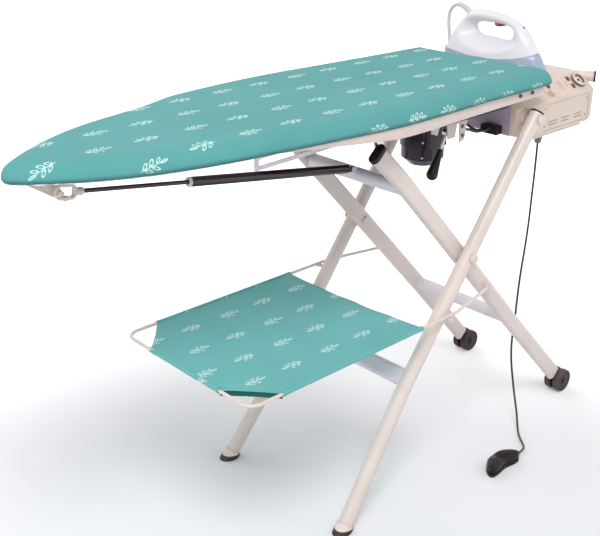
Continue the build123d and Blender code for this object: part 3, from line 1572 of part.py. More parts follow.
with BuildPart() as pedal_treadle:
    with BuildSketch(Plane.XY.offset(pedal_base_height + pedal_gap)):
        with Locations((pedal_x, pedal_y)):
            Ellipse(pedal_length / 2 - soft_gap, pedal_width / 2 - soft_gap)
    extrude(amount=pedal_top_height)
    fillet(pedal_treadle.edges().group_by(Axis.Z)[-1], pedal_edge)
    with BuildSketch(Plane.XY.offset(pedal_base_height)):
        with Locations((pedal_x - ear_x, pedal_pin_y), (pedal_x + ear_x, pedal_pin_y)):
            Rectangle(pedal_pin_diameter + 4 * soft_gap, 4 * pedal_pin_diameter)
    extrude(amount=pedal_gap * 2 + 2 * pedal_pin_diameter, mode=Mode.SUBTRACT)
    with BuildSketch(Plane(origin=(pedal_x, pedal_pin_y, pedal_pin_z), z_dir=(1, 0, 0))):
        Circle(pedal_pin_diameter / 2 + running_gap)
    extrude(amount=ear_x, both=True, mode=Mode.SUBTRACT)
write(pedal_treadle.part, "pedal_treadle")

# Screws: two in the pan's wall, two in the lever's bracket, two in the side panel
screws = []
for along, wide in pan_screw_shares:
    start = wide * board_half_width - inner_inset - pan_wall / 2
    with BuildPart() as screw:
        with BuildSketch(Plane.XZ.offset(start)):
            with Locations((board_nose_x + along * board_length, (pan_floor_z + pan_rim_z) / 2)):
                Circle(screw_head_diameter / 2)
        extrude(amount=pan_wall + screw_head_height)
        add(vacuum_pan.part, mode=Mode.SUBTRACT)
    screws.append(screw.part)
for x, z in lever_screw_shares:
    with BuildPart() as screw:
        with BuildSketch(
            across(
                lever_pivot_x + x * lever_drop,
                duct_bottom_z + z * lever_drop,
                lever_plate_y - lever_plate_thickness / 2,
            )
        ):
            Circle(screw_head_diameter / 2)
        extrude(amount=screw_head_height)
    screws.append(screw.part)
write(Compound(children=screws), "case_screws")
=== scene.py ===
# %% [markdown]
# # A folding vacuum ironing table
# The frame holds every rigid part at its real size, in metres. This lesson gives those parts their
# finishes, replaces the soft ones with modelled cloth, and adds the small things that a maker
# would see from a step away. Each cell makes one thing, and prints what it made.

# %% Load the frame
import math

import bmesh
import bpy
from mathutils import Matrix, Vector, geometry, noise


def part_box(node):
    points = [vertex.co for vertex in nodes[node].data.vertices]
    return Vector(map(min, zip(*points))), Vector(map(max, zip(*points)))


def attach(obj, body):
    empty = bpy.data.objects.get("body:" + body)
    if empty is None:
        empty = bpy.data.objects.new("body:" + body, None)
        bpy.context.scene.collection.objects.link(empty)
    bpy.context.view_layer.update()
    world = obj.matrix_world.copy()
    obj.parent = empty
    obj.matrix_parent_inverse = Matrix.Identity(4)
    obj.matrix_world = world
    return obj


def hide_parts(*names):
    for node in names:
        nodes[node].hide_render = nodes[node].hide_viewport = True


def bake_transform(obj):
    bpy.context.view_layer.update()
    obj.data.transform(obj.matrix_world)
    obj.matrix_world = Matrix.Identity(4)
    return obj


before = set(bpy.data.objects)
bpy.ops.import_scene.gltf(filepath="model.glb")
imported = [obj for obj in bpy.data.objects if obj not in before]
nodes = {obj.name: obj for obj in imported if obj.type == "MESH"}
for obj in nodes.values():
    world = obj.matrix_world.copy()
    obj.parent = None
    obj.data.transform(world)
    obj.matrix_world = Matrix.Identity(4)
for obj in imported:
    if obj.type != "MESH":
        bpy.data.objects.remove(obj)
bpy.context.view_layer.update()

scissor_x = 0.22907  # the legs cross here, and many places are measured from it
print("parts in the frame:", len(nodes))

# %% [markdown]
# ## Camera
# The camera stands to the left of the table's nose and a little above the board. Its place is
# given as a turn, a rise and a distance from one point of the table, because these are the numbers
# that were fitted to the photograph. A 60 mm lens gives the photograph's mild perspective.

# %% Camera
view_turn = math.radians(-42.8)
view_rise = math.radians(23.5)
view_distance = 2.0667
view_target = Vector((scissor_x - 0.3356, 0.0002, 0.5364))
picture_width = 600
lens_drop = 1.6  # in points of the picture


def shown(name, data):
    """An object in the scene that shows a camera, a mesh, a curve or a lamp."""
    made = bpy.data.objects.new(name, data)
    bpy.context.scene.collection.objects.link(made)
    return made


to_camera = Vector((
    math.sin(view_turn) * math.cos(view_rise),
    -math.cos(view_turn) * math.cos(view_rise),
    math.sin(view_rise),
))
camera = shown("camera", bpy.data.cameras.new("camera"))
camera.data.lens = 60
camera.data.sensor_width = 36
camera.data.shift_y = -lens_drop / picture_width
camera.location = view_target + to_camera * view_distance
camera.rotation_euler = to_camera.to_track_quat("Z", "Y").to_euler()
bpy.context.scene.camera = camera
print("camera at", [round(value, 3) for value in camera.location])

# %% [markdown]
# ## Nodes written as sums
# A material is a small program, and it is easier to read as sums than as a row of node boxes.
# `Value` wraps one socket, and each operator on it adds a Math node. `Nodes` is a node tree that
# adds every other node through one method, and a `Finish` is such a tree round one shader.

# %% Values that add their own Math nodes
def math_node(operation, swapped=False):
    """A method that adds one Math node; swapped puts the other number first."""

    def method(self, other=0.0):
        first, second = (other, self) if swapped else (self, other)
        return self.home.node("ShaderNodeMath", {"operation": operation}, {0: first, 1: second})

    return method


class Value:
    """A number, vector or colour that runs through a node tree."""

    def __init__(self, home, socket):
        self.home = home
        self.socket = socket

    __add__ = __radd__ = math_node("ADD")
    __mul__ = __rmul__ = math_node("MULTIPLY")
    __or__ = __ror__ = math_node("MAXIMUM")
    __sub__, __rsub__ = math_node("SUBTRACT"), math_node("SUBTRACT", swapped=True)
    __truediv__, __rtruediv__ = math_node("DIVIDE"), math_node("DIVIDE", swapped=True)
    whole, part, wave = math_node("FLOOR"), math_node("FRACT"), math_node("SINE")
    size, root, turn_from = math_node("ABSOLUTE"), math_node("SQRT"), math_node("ARCTAN2")

    def step(self, low, high):
        """0 below low and 1 above high, or the other way round, with a smooth change between."""
        start, end = sorted((low, high))
        first, last = (0.0, 1.0) if low < high else (1.0, 0.0)
        return self.home.node(
            "ShaderNodeMapRange",
            {"interpolation_type": "SMOOTHSTEP"},
            {"Value": self, "From Min": start, "From Max": end, "To Min": first, "To Max": last},
        )


print("sums that a value knows:", [name for name in vars(Value) if name[:3] != "__r"])

# %% Node trees and finishes
class Nodes:
    """A node tree whose nodes all come from one method."""

    def __init__(self, tree):
        self.tree = tree

    def node(self, kind, settings, sockets, output=0):
        made = self.tree.nodes.new(kind)
        for name, value in settings.items():
            setattr(made, name, value)
        for name, value in sockets.items():
            self.put(made.inputs[name], value)
        return Value(self, made.outputs[output])

    def put(self, socket, value):
        """Links a value to a socket, or sets a plain number or colour on it."""
        if isinstance(value, Value):
            self.tree.links.new(value.socket, socket)
        else:
            socket.default_value = value


class Finish(Nodes):
    """One material round a Principled shader."""

    def __init__(self, name, settings):
        self.material = bpy.data.materials.new(name)
        self.material.use_nodes = True
        super().__init__(self.material.node_tree)
        self.shader = self.tree.nodes["Principled BSDF"]
        for socket, value in settings.items():
            self.shader.inputs[socket].default_value = value

    def give(self, name, value):
        self.put(self.shader.inputs[name], value)

    def place(self):
        return self.node("ShaderNodeTexCoord", {}, {}, "Object")

    def flat(self):
        return self.node("ShaderNodeTexCoord", {}, {}, "UV")

    def axes(self, vector):
        return [self.node("ShaderNodeSeparateXYZ", {}, {"Vector": vector}, axis) for axis in "XYZ"]

    def cloud(self, vector, scale, detail=2.0):
        sockets = {"Vector": vector, "Scale": scale, "Detail": detail}
        return self.node("ShaderNodeTexNoise", {}, sockets)

    def mix(self, share, first, second):
        sockets = {"Factor": share, 6: first, 7: second}
        return self.node("ShaderNodeMix", {"data_type": "RGBA"}, sockets, 2)

    def relief(self, height, depth):
        bumped = {"Height": height, "Distance": depth, "Strength": 1.0}
        self.give("Normal", self.node("ShaderNodeBump", {}, bumped))

# %% Colours
def paint(red, green, blue):
    """A colour as a paint chart gives it, 0 to 255, as Blender's linear numbers."""
    shares = [value / 255 for value in (red, green, blue)]
    linear = [s / 12.92 if s <= 0.04045 else ((s + 0.055) / 1.055) ** 2.4 for s in shares]
    return (*linear, 1.0)


def shade(colour, share):
    """The same colour, darker or lighter."""
    return (*(min(1.0, value * share) for value in colour[:3]), 1.0)


print("a half grey of the chart is", round(paint(128, 128, 128)[0], 3), "to Blender")

# %% [markdown]
# ## Hard finishes
# Sprayed enamel has a faint orange peel, moulded plastic has a finer grain, and neither has quite
# the same gloss all over. One recipe serves both: a slow cloud moves the colour and the gloss a
# little, and a fine one gives the relief. Near the floor the paint gathers dust.

# %% Enamel and moulded plastic
dust = paint(150, 142, 134)
dust_top = 0.16
matt = {"Specular IOR Level": 0.25}
slow_gloss, fine_gloss = 0.16, 0.08


def coated(name, colour, roughness, grain, peel, drift=0.06, dusty=0.0, settings=None):
    """Enamel or plastic: its grain is the size of the peel in metres, and peel is its height."""
    finish = Finish(name, {"IOR": 1.5, **(settings or {})})
    place = finish.place()
    slow = finish.cloud(place, 7.0, 4.0)
    fine = finish.cloud(place, 1.0 / grain, 1.0)
    darker, lighter = shade(colour, 1.0 - drift), shade(colour, 1.0 + drift / 2)
    toned = finish.mix(slow.step(0.3, 0.7), darker, lighter)
    if dusty:
        height = finish.axes(place)[2]
        toned = finish.mix(height.step(dust_top, 0.0) * slow.step(0.35, 0.75) * dusty, toned, dust)
    finish.give("Base Color", toned)
    middle_gloss = roughness - (slow_gloss + fine_gloss) / 2
    finish.give("Roughness", slow * slow_gloss + fine * fine_gloss + middle_gloss)
    finish.relief(fine, peel)
    return finish


leg_enamel = coated("leg_enamel", paint(219, 206, 199), 0.34, 0.0018, 0.00004, dusty=0.4)
bar_enamel = coated("bar_enamel", paint(226, 219, 228), 0.34, 0.0018, 0.00004)
pan_enamel = coated("pan_enamel", paint(214, 200, 193), 0.38, 0.0018, 0.00004)
box_plastic = coated("box_plastic", paint(213, 196, 182), 0.36, 0.0009, 0.00003)
black_plastic = coated("black_plastic", paint(38, 26, 36), 0.36, 0.0008, 0.00004, 0.12,
                       settings=matt)
fan_plastic = coated("fan_plastic", paint(34, 12, 38), 0.2, 0.0010, 0.00004, 0.12, settings=matt)
black_paint = coated("black_paint", paint(44, 26, 34), 0.24, 0.0016, 0.00003, 0.1)
white_plastic = coated("white_plastic", paint(224, 222, 228), 0.36, 0.0007, 0.00001, 0.03)
skirt_plastic = coated("skirt_plastic", paint(156, 170, 194), 0.22, 0.0007, 0.00001, 0.05)
red_plastic = coated("red_plastic", paint(190, 34, 58), 0.28, 0.0007, 0.00001, 0.08)
grey_plastic = coated("grey_plastic", paint(124, 108, 112), 0.36, 0.0008, 0.00003, 0.08)
hose_plastic = coated("hose_plastic", paint(208, 199, 205), 0.42, 0.0007, 0.00002, 0.04)
rubber = coated("black_rubber", paint(38, 36, 37), 0.62, 0.0006, 0.00005, 0.2, dusty=0.35)
wheel_face = coated("wheel_face", paint(46, 28, 30), 0.5, 0.0008, 0.00004, 0.1, 0.2, matt)
wheel_tread = coated("wheel_tread", paint(72, 54, 60), 0.6, 0.0008, 0.00004, 0.1, 0.3, matt)
grip_plastic = coated("grip_plastic", paint(27, 14, 18), 0.36, 0.0008, 0.00004, 0.12, settings=matt)
# a lavender grey for painted shade: the sheet on the box's nose side, which the board shades
painted_shade_enamel = coated("painted_shade_enamel", paint(176, 162, 178), 0.4, 0.0018, 0.00004)
# printed marks, and the dark of painted shade in the slots and round the panel
label_print_and_shade = coated("label_print_and_shade", paint(158, 138, 132), 0.5, 0.0007, 0.00001, 0.03)
dark_red = coated("dark_red", paint(128, 22, 44), 0.3, 0.0007, 0.00001, 0.08)
lamp_plastic = coated("lamp_plastic", paint(120, 16, 26), 0.12, 0.0009, 0.00001, 0.1,
                      settings={"Transmission Weight": 0.25, "Coat Weight": 0.6})
print("coated finishes:", len([m for m in bpy.data.materials if m.use_nodes]))

# %% [markdown]
# ## Two-tone feet
# The rubber feet are pale where they grip the leg and dark where they meet the floor. Two parts
# would do, but the real foot is one moulding, so its colour changes at a height instead.

# %% Feet
cap_pale, cap_dark = paint(219, 206, 199), paint(46, 30, 36)
pale_above, dark_below = 0.0112, 0.0100
foot_cap = coated("foot_cap", cap_pale, 0.5, 0.0008, 0.00004)
cap_height = foot_cap.axes(foot_cap.place())[2]
cap_share = cap_height.step(pale_above, dark_below)
foot_cap.give("Base Color", foot_cap.mix(cap_share, cap_pale, cap_dark))
print("the feet are dark below", dark_below, "m")

# %% [markdown]
# ## Bare metal
# Drawn rod and turned heads show fine lines along one direction. Stretching a noise along that
# direction gives the lines, and they change the gloss more than the colour.

# %% Steel, zinc and polished aluminium
def metal(name, colour, roughness, along, spread=0.12):
    """Bare metal whose fine lines run along one axis, 0 to 2."""
    finish = Finish(name, {"Metallic": 1.0})
    stretch = [900.0, 900.0, 900.0]
    stretch[along] = 25.0
    lines = finish.node("ShaderNodeMapping", {}, {"Vector": finish.place(), "Scale": stretch})
    brushed = finish.cloud(lines, 1.0, 3.0)
    cloud = finish.cloud(finish.place(), 30.0, 3.0)
    finish.give("Base Color", finish.mix(cloud, shade(colour, 0.86), colour))
    finish.give("Roughness", brushed * spread + cloud * spread + (roughness - spread))
    finish.relief(brushed, 0.00001)
    return finish


steel = metal("steel", paint(196, 194, 196), 0.24, 0)
zinc = metal("zinc", paint(176, 176, 172), 0.4, 1, 0.2)
sole_metal = metal("sole_metal", paint(206, 206, 212), 0.16, 1)
print("bare metals:", [made.material.name for made in (steel, zinc, sole_metal)])

# %% [markdown]
# ## Printed cotton
# The cover and the shelf are cut from one cotton print: teal, with a small pale drawing again and
# again. The drawing here is a leafy sprig in rows that step by half a space, and every other one
# is turned over. Each leaf is a ring: the place is moved, turned and squeezed by a Mapping node,
# and a band of the distance that is left is the pen's line. The threads are two crossed waves. An
# image could carry the print too, but it would need a file and blur from close by, and sums stay
# sharp.

# %% Cotton print
print_step_x = 0.098
print_step_y = 0.086
sprig_leaves = [
    (-0.0130, 0.0046, 38, 0.0068, 0.0028),
    (-0.0108, -0.0052, -36, 0.0066, 0.0027),
    (-0.0002, 0.0062, 42, 0.0070, 0.0030),
    (0.0026, -0.0058, -38, 0.0068, 0.0028),
    (0.0122, 0.0054, 34, 0.0060, 0.0026),
    (0.0202, 0.0000, 4, 0.0070, 0.0026),
]
stem_half = 0.0235
stem_thick = 0.0007
thread = 0.0011


def sprigs(finish, x, y):
    """1 where the pen drew, over the whole cloth."""
    row = (y / print_step_y).whole()
    odd = (row * 0.5).part() * 2.0
    along = x / print_step_x + odd * 0.5
    flipped = 1.0 - (along.whole() * 0.5).part() * 4.0
    here_x = (along.part() - 0.5) * print_step_x * flipped
    here_y = ((y / print_step_y).part() - 0.5) * print_step_y
    here = finish.node("ShaderNodeCombineXYZ", {}, {"X": here_x, "Y": here_y})
    stem_side = here_y.size().step(stem_thick * 1.4, stem_thick * 0.8)
    drawn = here_x.size().step(stem_half, stem_half - 0.001) * stem_side
    for leaf_x, leaf_y, turn, half_length, half_width in sprig_leaves:
        leaf = finish.node("ShaderNodeMapping", {"vector_type": "TEXTURE"}, {
            "Vector": here,
            "Location": (leaf_x, leaf_y, 0),
            "Rotation": (0, 0, math.radians(turn)),
            "Scale": (half_length, half_width, 1),
        })
        reach = finish.node("ShaderNodeVectorMath", {"operation": "LENGTH"}, {0: leaf}, "Value")
        drawn = drawn | reach.step(1.18, 1.0) * reach.step(0.5, 0.72)
    return drawn

# %% Cottons
def cotton(name, colour, mark=None, low=None):
    """Cloth with sprigs in the mark's colour, and painted shade over the last 11 mm above a low
    height.
    """
    finish = Finish(name, {"Sheen Weight": 0.08, "Sheen Roughness": 0.5, "Specular IOR Level": 0.2})
    flat = finish.flat()
    x, y, _ = finish.axes(flat)
    slow = finish.cloud(flat, 5.0, 4.0)
    cloth = finish.mix(slow.step(0.3, 0.7), shade(colour, 0.95), shade(colour, 1.04))
    if mark is not None:
        faded = sprigs(finish, x, y) * (finish.cloud(flat, 900.0, 1.0) * 0.4 + 0.62)
        cloth = finish.mix(faded, cloth, mark)
    # painted shade: the cloth darkens to half its colour low on the cover, where it rolls under
    if low is not None:
        height = finish.axes(finish.place())[2]
        cloth = finish.mix(height.step(low + 0.011, low + 0.001), cloth, shade(colour, 0.5))
    weave = (x * (math.tau / thread)).wave() * (y * (math.tau / thread)).wave()
    finish.give("Base Color", cloth)
    finish.give("Roughness", slow * 0.1 + 0.78)
    finish.relief(weave + finish.cloud(flat, 420.0, 2.0), 0.00006)
    return finish


cover_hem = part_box("ironing_cover")[0].z
# the cover's cloth carries painted shade along its rolled-under lower edge
teal_print = cotton("teal_print", paint(88, 157, 156), paint(210, 234, 232), cover_hem)
# The shelf's cloth is the cover's print a little lighter: painted light against the board's shadow
# on it.
shelf_print_lightened = cotton("shelf_print_lightened", paint(104, 177, 176), paint(212, 236, 234))
# A dark teal that paints the shade under the shelf's cut corners onto their hems.
teal_painted_shade = cotton("teal_painted_shade", paint(20, 92, 84))
white_cotton = cotton("white_cotton", paint(232, 230, 230))
felt = cotton("felt", paint(222, 218, 206))
print("leaves of a sprig:", len(sprig_leaves), "threads to a metre:", round(2 / thread))

# %% [markdown]
# ## Shapes from rings and profiles
# Nearly every added piece is a skin over a row of rings, a profile turned about an axis, or a
# round rod along a path. Ready-made cylinders and cubes have hard edges and no taper, so short
# helpers make these shapes from their points instead.

# %% Rings, turned profiles and rods
join_gap = 0.00001


def skin(rings, capped=False):
    """Quads between each closed ring of points and the next."""
    shape = bmesh.new()
    rows = [[shape.verts.new(point) for point in ring] for ring in rings]
    for before, after in zip(rows, rows[1:]):
        for i in range(len(before)):
            j = (i + 1) % len(before)
            shape.faces.new((before[i], before[j], after[j], after[i]))
    if capped:
        shape.faces.new(rows[0][::-1])
        shape.faces.new(rows[-1])
    bmesh.ops.remove_doubles(shape, verts=shape.verts, dist=join_gap)
    bmesh.ops.recalc_face_normals(shape, faces=shape.faces)
    return shape


def square_to(axis):
    """An axis of length 1 and two directions square to it."""
    axis = Vector(axis).normalized()
    side = axis.orthogonal().normalized()
    return axis, side, axis.cross(side)


def circle(middle, side, up, radius, steps):
    """Points at equal turns round a middle."""
    turns = [math.tau * k / steps for k in range(steps)]
    return [middle + (side * math.cos(t) + up * math.sin(t)) * radius for t in turns]


def turned(profile, middle, axis, steps=40):
    """A profile of (radius, height) pairs turned about an axis through a point."""
    axis, side, up = square_to(axis)
    middle = Vector(middle)
    return skin([circle(middle + axis * height, side, up, radius, steps)
                 for radius, height in profile])


def rod(path, radius, steps=12, widths=None):
    """A round rod along a path, whose radius may change from point to point."""
    path = [Vector(point) for point in path]
    side = square_to(path[1] - path[0])[1]
    rings = []
    for i, point in enumerate(path):
        ahead = (path[min(i + 1, len(path) - 1)] - path[max(i - 1, 0)]).normalized()
        side = (side - ahead * side.dot(ahead)).normalized()
        wide = radius * (widths[i] if widths else 1)
        rings.append(circle(point, side, ahead.cross(side), wide, steps))
    return skin(rings, capped=True)


def block(low, high):
    """A plain block between two corners."""
    shape = bmesh.new()
    for vert in bmesh.ops.create_cube(shape, size=1.0)["verts"]:
        vert.co = Vector(
            low[axis] + (high[axis] - low[axis]) * (vert.co[axis] + 0.5) for axis in range(3)
        )
    return shape

# %% [markdown]
# ## From a shape to a piece
# A shape becomes a piece when it has a finish and a body to ride on when the joints move. A few
# pieces also take a bevel, or their places on a flat cloth.

# %% Pieces
def mesh_of(name, shape, finish):
    """A shape as a mesh with its finish, and the shape itself let go."""
    mesh = bpy.data.meshes.new(name)
    shape.to_mesh(mesh)
    shape.free()
    mesh.shade_smooth()
    mesh.materials.append(finish.material)
    return mesh


def fitted(made, body):
    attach(made, body)
    return made


def piece(name, shape, finish, body, sharp=40):
    """An object from a shape, smooth but for edges that turn more than sharp degrees."""
    mesh = mesh_of(name, shape, finish)
    mesh.set_sharp_from_angle(angle=math.radians(sharp))
    print(name, "faces:", len(mesh.polygons))
    return fitted(shown(name, mesh), body)


def rounded(made, width, angle=35):
    """Rounds the edges of a piece that turn more than an angle, in degrees."""
    edge = made.modifiers.new("round edges", "BEVEL")
    edge.width = width
    edge.segments = 2
    edge.angle_limit = math.radians(angle)


def flat_map(made, flats):
    """Gives each vertex its place on the flat cloth, in metres."""
    layer = made.data.uv_layers.new(name="flat")
    for loop in made.data.loops:
        layer.data[loop.index].uv = flats[loop.vertex_index]

# %% [markdown]
# ## Finishes for the rigid parts
# The metal and plastic parts already have their true shape, so they only take a finish. Sharp
# edges catch no light, and nothing real is that sharp: a few modifiers join the split corners,
# clear the flat faces of their inner lines and round the edges, and leave the mesh itself alone.

# %% Dress the rigid parts
finishes = {
    leg_enamel: ["b_leg_front", "b_leg_rear", "a_leg_front", "a_leg_rear", "shelf_frame",
                 "nose_bracket", "top_pivot_bolts", "scissor_bolts", "shelf_rest_pegs",
                 "shelf_hinge_pegs"],
    bar_enamel: ["b_crossbar", "a_upper_crossbar", "a_lower_crossbar", "guide_rails"],
    pan_enamel: ["vacuum_pan", "lever_bracket"],
    zinc: ["perforated_sheet"],
    box_plastic: ["boiler_housing", "boiler_base", "side_panel", "switch_bezel", "steam_knob"],
    black_plastic: ["b_end_caps", "a_end_caps", "connector_box", "wheel_forks",
                    "gauge_needle", "socket_ring"],
    grip_plastic: ["lever_grip", "pedal_base", "pedal_treadle"],
    fan_plastic: ["fan_housing"],
    rubber: ["iron_rest"],
    foot_cap: ["b_feet"],
    grey_plastic: ["gauge_case", "cord_gland", "hose_gland"],
    red_plastic: ["rocker_lower", "rocker_upper", "iron_trigger"],
    lamp_plastic: ["indicator_lamp"],
    hose_plastic: ["hose_relief"],
    black_paint: ["gas_cylinder", "gas_rod", "case_screws"],
    steel: ["slide_bar"],
    sole_metal: ["iron_soleplate", "lever_rod"],
}
for finish, names in finishes.items():
    for name in names:
        nodes[name].data.materials.clear()
        nodes[name].data.materials.append(finish.material)
print("rigid parts dressed:", sum(len(names) for names in finishes.values()))

# %% Round their edges
edge_widths = {
    "boiler_housing": 0.0014, "boiler_base": 0.001, "side_panel": 0.0007, "switch_bezel": 0.0004,
    "connector_box": 0.001, "vacuum_pan": 0.0006, "lever_bracket": 0.0005, "nose_bracket": 0.0006,
    "guide_rails": 0.0004, "iron_soleplate": 0.0007, "b_crossbar": 0.001,
}
for name, width in edge_widths.items():
    weld = nodes[name].modifiers.new("join corners", "WELD")
    weld.merge_threshold = join_gap
    clear = nodes[name].modifiers.new("clear flats", "DECIMATE")
    clear.decimate_type = "DISSOLVE"
    clear.angle_limit = math.radians(0.6)
    rounded(nodes[name], width, 32)
print("parts with rounded edges:", len(edge_widths))

# %% [markdown]
# ## The board's outline
# The cover, the pad and the hem all follow the board's edge. The outline comes from the packed
# cover: its corners in plan form a shape with no hollows, so the smallest loop round all of them
# is the edge. The loop is walked off in equal steps, and each step knows which way is out.

# %% Walk round the board's edge
edge_steps = 300


def walked(corners, count):
    """Points at equal steps round a closed loop."""
    corners = corners + corners[:1]
    spans = [(b - a).length for a, b in zip(corners, corners[1:])]
    step = sum(spans) / count
    points, here, i = [], 0.0, 0
    for k in range(count):
        while here + spans[i] < k * step:
            here += spans[i]
            i += 1
        points.append(corners[i].lerp(corners[i + 1], (k * step - here) / spans[i]))
    return points


far_shoulder_x = -0.5
far_proud, far_drawn, near_proud = 0.021, 0.004, 0.010


def clamped(share):
    return max(0.0, min(1.0, share))


def eased(point):
    """How far the cloth stands off the tray: most at the far shoulder, some at the near tail."""
    x = point.x - scissor_x
    if point.y <= 0:
        return near_proud * clamped(x / 0.22)
    wide = 0.075 if x < far_shoulder_x else 0.24
    swell = far_proud * math.exp(-((x - far_shoulder_x) / wide) ** 2)
    return swell - far_drawn * clamped(x / 0.2)


cover_points = [Vector(v.co[:2]) for v in nodes["ironing_cover"].data.vertices]
around = geometry.convex_hull_2d(cover_points)
loop = [cover_points[i] for i in around]
start = min(range(len(loop)), key=lambda i: (loop[i].x, abs(loop[i].y)))
board_edge = walked(loop[start:] + loop[:start], edge_steps)
edge_step = (board_edge[1] - board_edge[0]).length
edge_out = []
for i, point in enumerate(board_edge):
    ahead = board_edge[(i + 2) % edge_steps] - board_edge[i - 2]
    edge_out.append(Vector((ahead.y, -ahead.x)).normalized())
pulled_out = [eased(point) for point in board_edge]
board_edge = [point + out * far for point, out, far in zip(board_edge, edge_out, pulled_out)]
cover_low, cover_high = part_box("ironing_cover")
spine_start = cover_low.x + 0.11
spine_end = cover_high.x - 0.17
print("edge length:", round(edge_step * edge_steps, 3))


def drawn_in(i, distance):
    """The point of the edge a distance inside it."""
    return board_edge[i] - edge_out[i] * distance


def spine(point):
    """The nearest point of the board's middle line."""
    return Vector((min(max(point.x, spine_start), spine_end), 0))

# %% [markdown]
# ## The cover
# A cover is pulled tight over the pad by a drawcord in its hem. It lies flat on top, rolls over
# the edge and puckers where the cord gathers it, most of all round the narrow nose. The mesh is a
# row of rings from the middle line out and over the edge, and the puckers are waves that grow
# toward the hem. A cloth simulation would give the same tight sheet at a hundred times the cost,
# so the folds are given instead.

# %% The cover's measures and gathers
roll_in = 0.034
roll_down = 0.029
roll_length = math.pi / 2 * math.sqrt((roll_in ** 2 + roll_down ** 2) / 2)
top_z = cover_high.z
hem_z = cover_low.z
pucker_length, pucker_drift, pucker_swell = 0.021, 0.11, 0.19
top_shares = [0.06, 0.16, 0.3, 0.45, 0.6, 0.72, 0.82, 0.9, 0.96, 1.0]
roll_turns = [math.radians(turn) for turn in (12, 24, 36, 48, 60, 70, 80, 90)]


def nose_share(point):
    """1 at the nose, 0 from a third of the way along."""
    share = (point.x - cover_low.x) / 0.36
    return max(0.0, 1.0 - share) ** 1.5


def pucker(i, fade):
    """A gathered wave along the edge, where fade is 0 at the top and 1 at the hem."""
    along = i * edge_step
    drift = 2.3 * math.sin(math.tau * along / pucker_drift)
    waves = math.sin(math.tau * along / pucker_length + drift)
    slow = 0.6 + 0.4 * math.sin(math.tau * along / pucker_swell)
    return waves * slow * fade * (0.0004 + 0.0013 * nose_share(board_edge[i]))


def soft_top(x, y):
    """Height of the padded top over the plain level, which is never above it."""
    swell = noise.noise(Vector((x * 5.0, y * 7.0, 0.3)))
    fine = noise.noise(Vector((x * 22.0, y * 26.0, 4.1)))
    return -0.0009 + 0.0007 * swell + 0.0002 * fine


print("cloth round the rolled edge:", round(roll_length, 3), "m")

# %% The cover's rings
rings, flats = [], []


def add_ring(places, on_cloth):
    """One more ring of the cover, with its points' places on the flat cloth."""
    rings.append(places)
    flats.extend(on_cloth)


def flat_ring(reach):
    """The flat cloth's ring at a distance outside the edge."""
    return [point + out * reach for point, out in zip(board_edge, edge_out)]


for share in top_shares:
    inner = [drawn_in(i, roll_in) for i in range(edge_steps)]
    flat = [spine(point).lerp(point, share) for point in inner]
    add_ring([(x, y, top_z + soft_top(x, y)) for x, y in flat], flat)
for turn in roll_turns:
    ring = []
    for i in range(edge_steps):
        gather = pucker(i, math.sin(turn) ** 2 * 0.5)
        place = drawn_in(i, roll_in * (1 - math.sin(turn)) - gather)
        sunk = soft_top(place.x, place.y) * math.cos(turn)
        ring.append((place.x, place.y, top_z - roll_down * (1 - math.cos(turn)) + sunk))
    add_ring(ring, flat_ring(roll_length * turn / (math.pi / 2) - roll_in))
hem_steps = [(0.0003, 0.0044, 0.9), (0.0009, 0.0030, 1.0), (0.0028, 0.0012, 1.0),
             (0.0062, 0.0004, 1.0), (0.0100, 0.0007, 0.9), (0.0135, 0.0016, 0.6)]
hem_depth = hem_steps[-1][0]
for distance, height, fade in hem_steps:
    ring = []
    for i in range(edge_steps):
        gather = pucker(i, fade)
        tucked = distance + max(0.0, pulled_out[i]) * distance / hem_depth
        place = drawn_in(i, tucked - gather)
        ring.append((place.x, place.y, hem_z + height + abs(gather) * 0.5))
    add_ring(ring, flat_ring(roll_length - roll_in + hem_steps[0][1] - height + distance))
print("rings of cloth:", len(rings))

# %% Cloth as a thin shell
cloth_thick = 0.0012


def cloth_skin(name, rings, flats, finish, body, thickness, closed=True, middle=False):
    """A cloth shell whose faces keep their place on the flat cloth; middle fills the first ring."""
    count = len(rings[0])
    faces = []
    for first in range(0, (len(rings) - 1) * count, count):
        for i in range(count if closed else count - 1):
            j = (i + 1) % count
            faces.append((first + i, first + j, first + count + j, first + count + i))
    if middle:
        faces += [(i + 1, i, count - i, count - i - 1) for i in range(1, count // 2 - 1)]
        faces += [(1, 0, count - 1), (count // 2, count // 2 - 1, count // 2 + 1)]
    mesh = bpy.data.meshes.new(name)
    mesh.from_pydata([point for ring in rings for point in ring], [], faces)
    mesh.shade_smooth()
    mesh.materials.append(finish.material)
    made = shown(name, mesh)
    flat_map(made, flats)
    if thickness:
        shell = made.modifiers.new("thickness", "SOLIDIFY")
        shell.thickness = thickness
        shell.offset = -1
    print(name, "faces:", len(faces))
    return fitted(made, body)


cover = cloth_skin("cover", rings, flats, teal_print, "board", cloth_thick,
                   middle=True)
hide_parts("ironing_cover")

# %% [markdown]
# ## Pad and hem
# Under the cover lies a felt pad, with the same edge a little further in, so it takes the same
# rings. Round the nose the hem shows from below as a white band of gathered cotton, with the
# drawcord's channel along it: a strip that follows the edge and gathers with the cover.

# %% Pad
pad_low, pad_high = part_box("felt_pad")
pad_inset, pad_tuck = 0.0034, 0.012
pad_top, pad_under = pad_high.z - 0.0022, pad_low.z + 0.0004
pad_down = roll_down - 0.004


def pad_ring(distance, height):
    return [(*drawn_in(i, distance), height) for i in range(edge_steps)]


def middle_ring(height):
    return [(*spine(point), height) for point in board_edge]


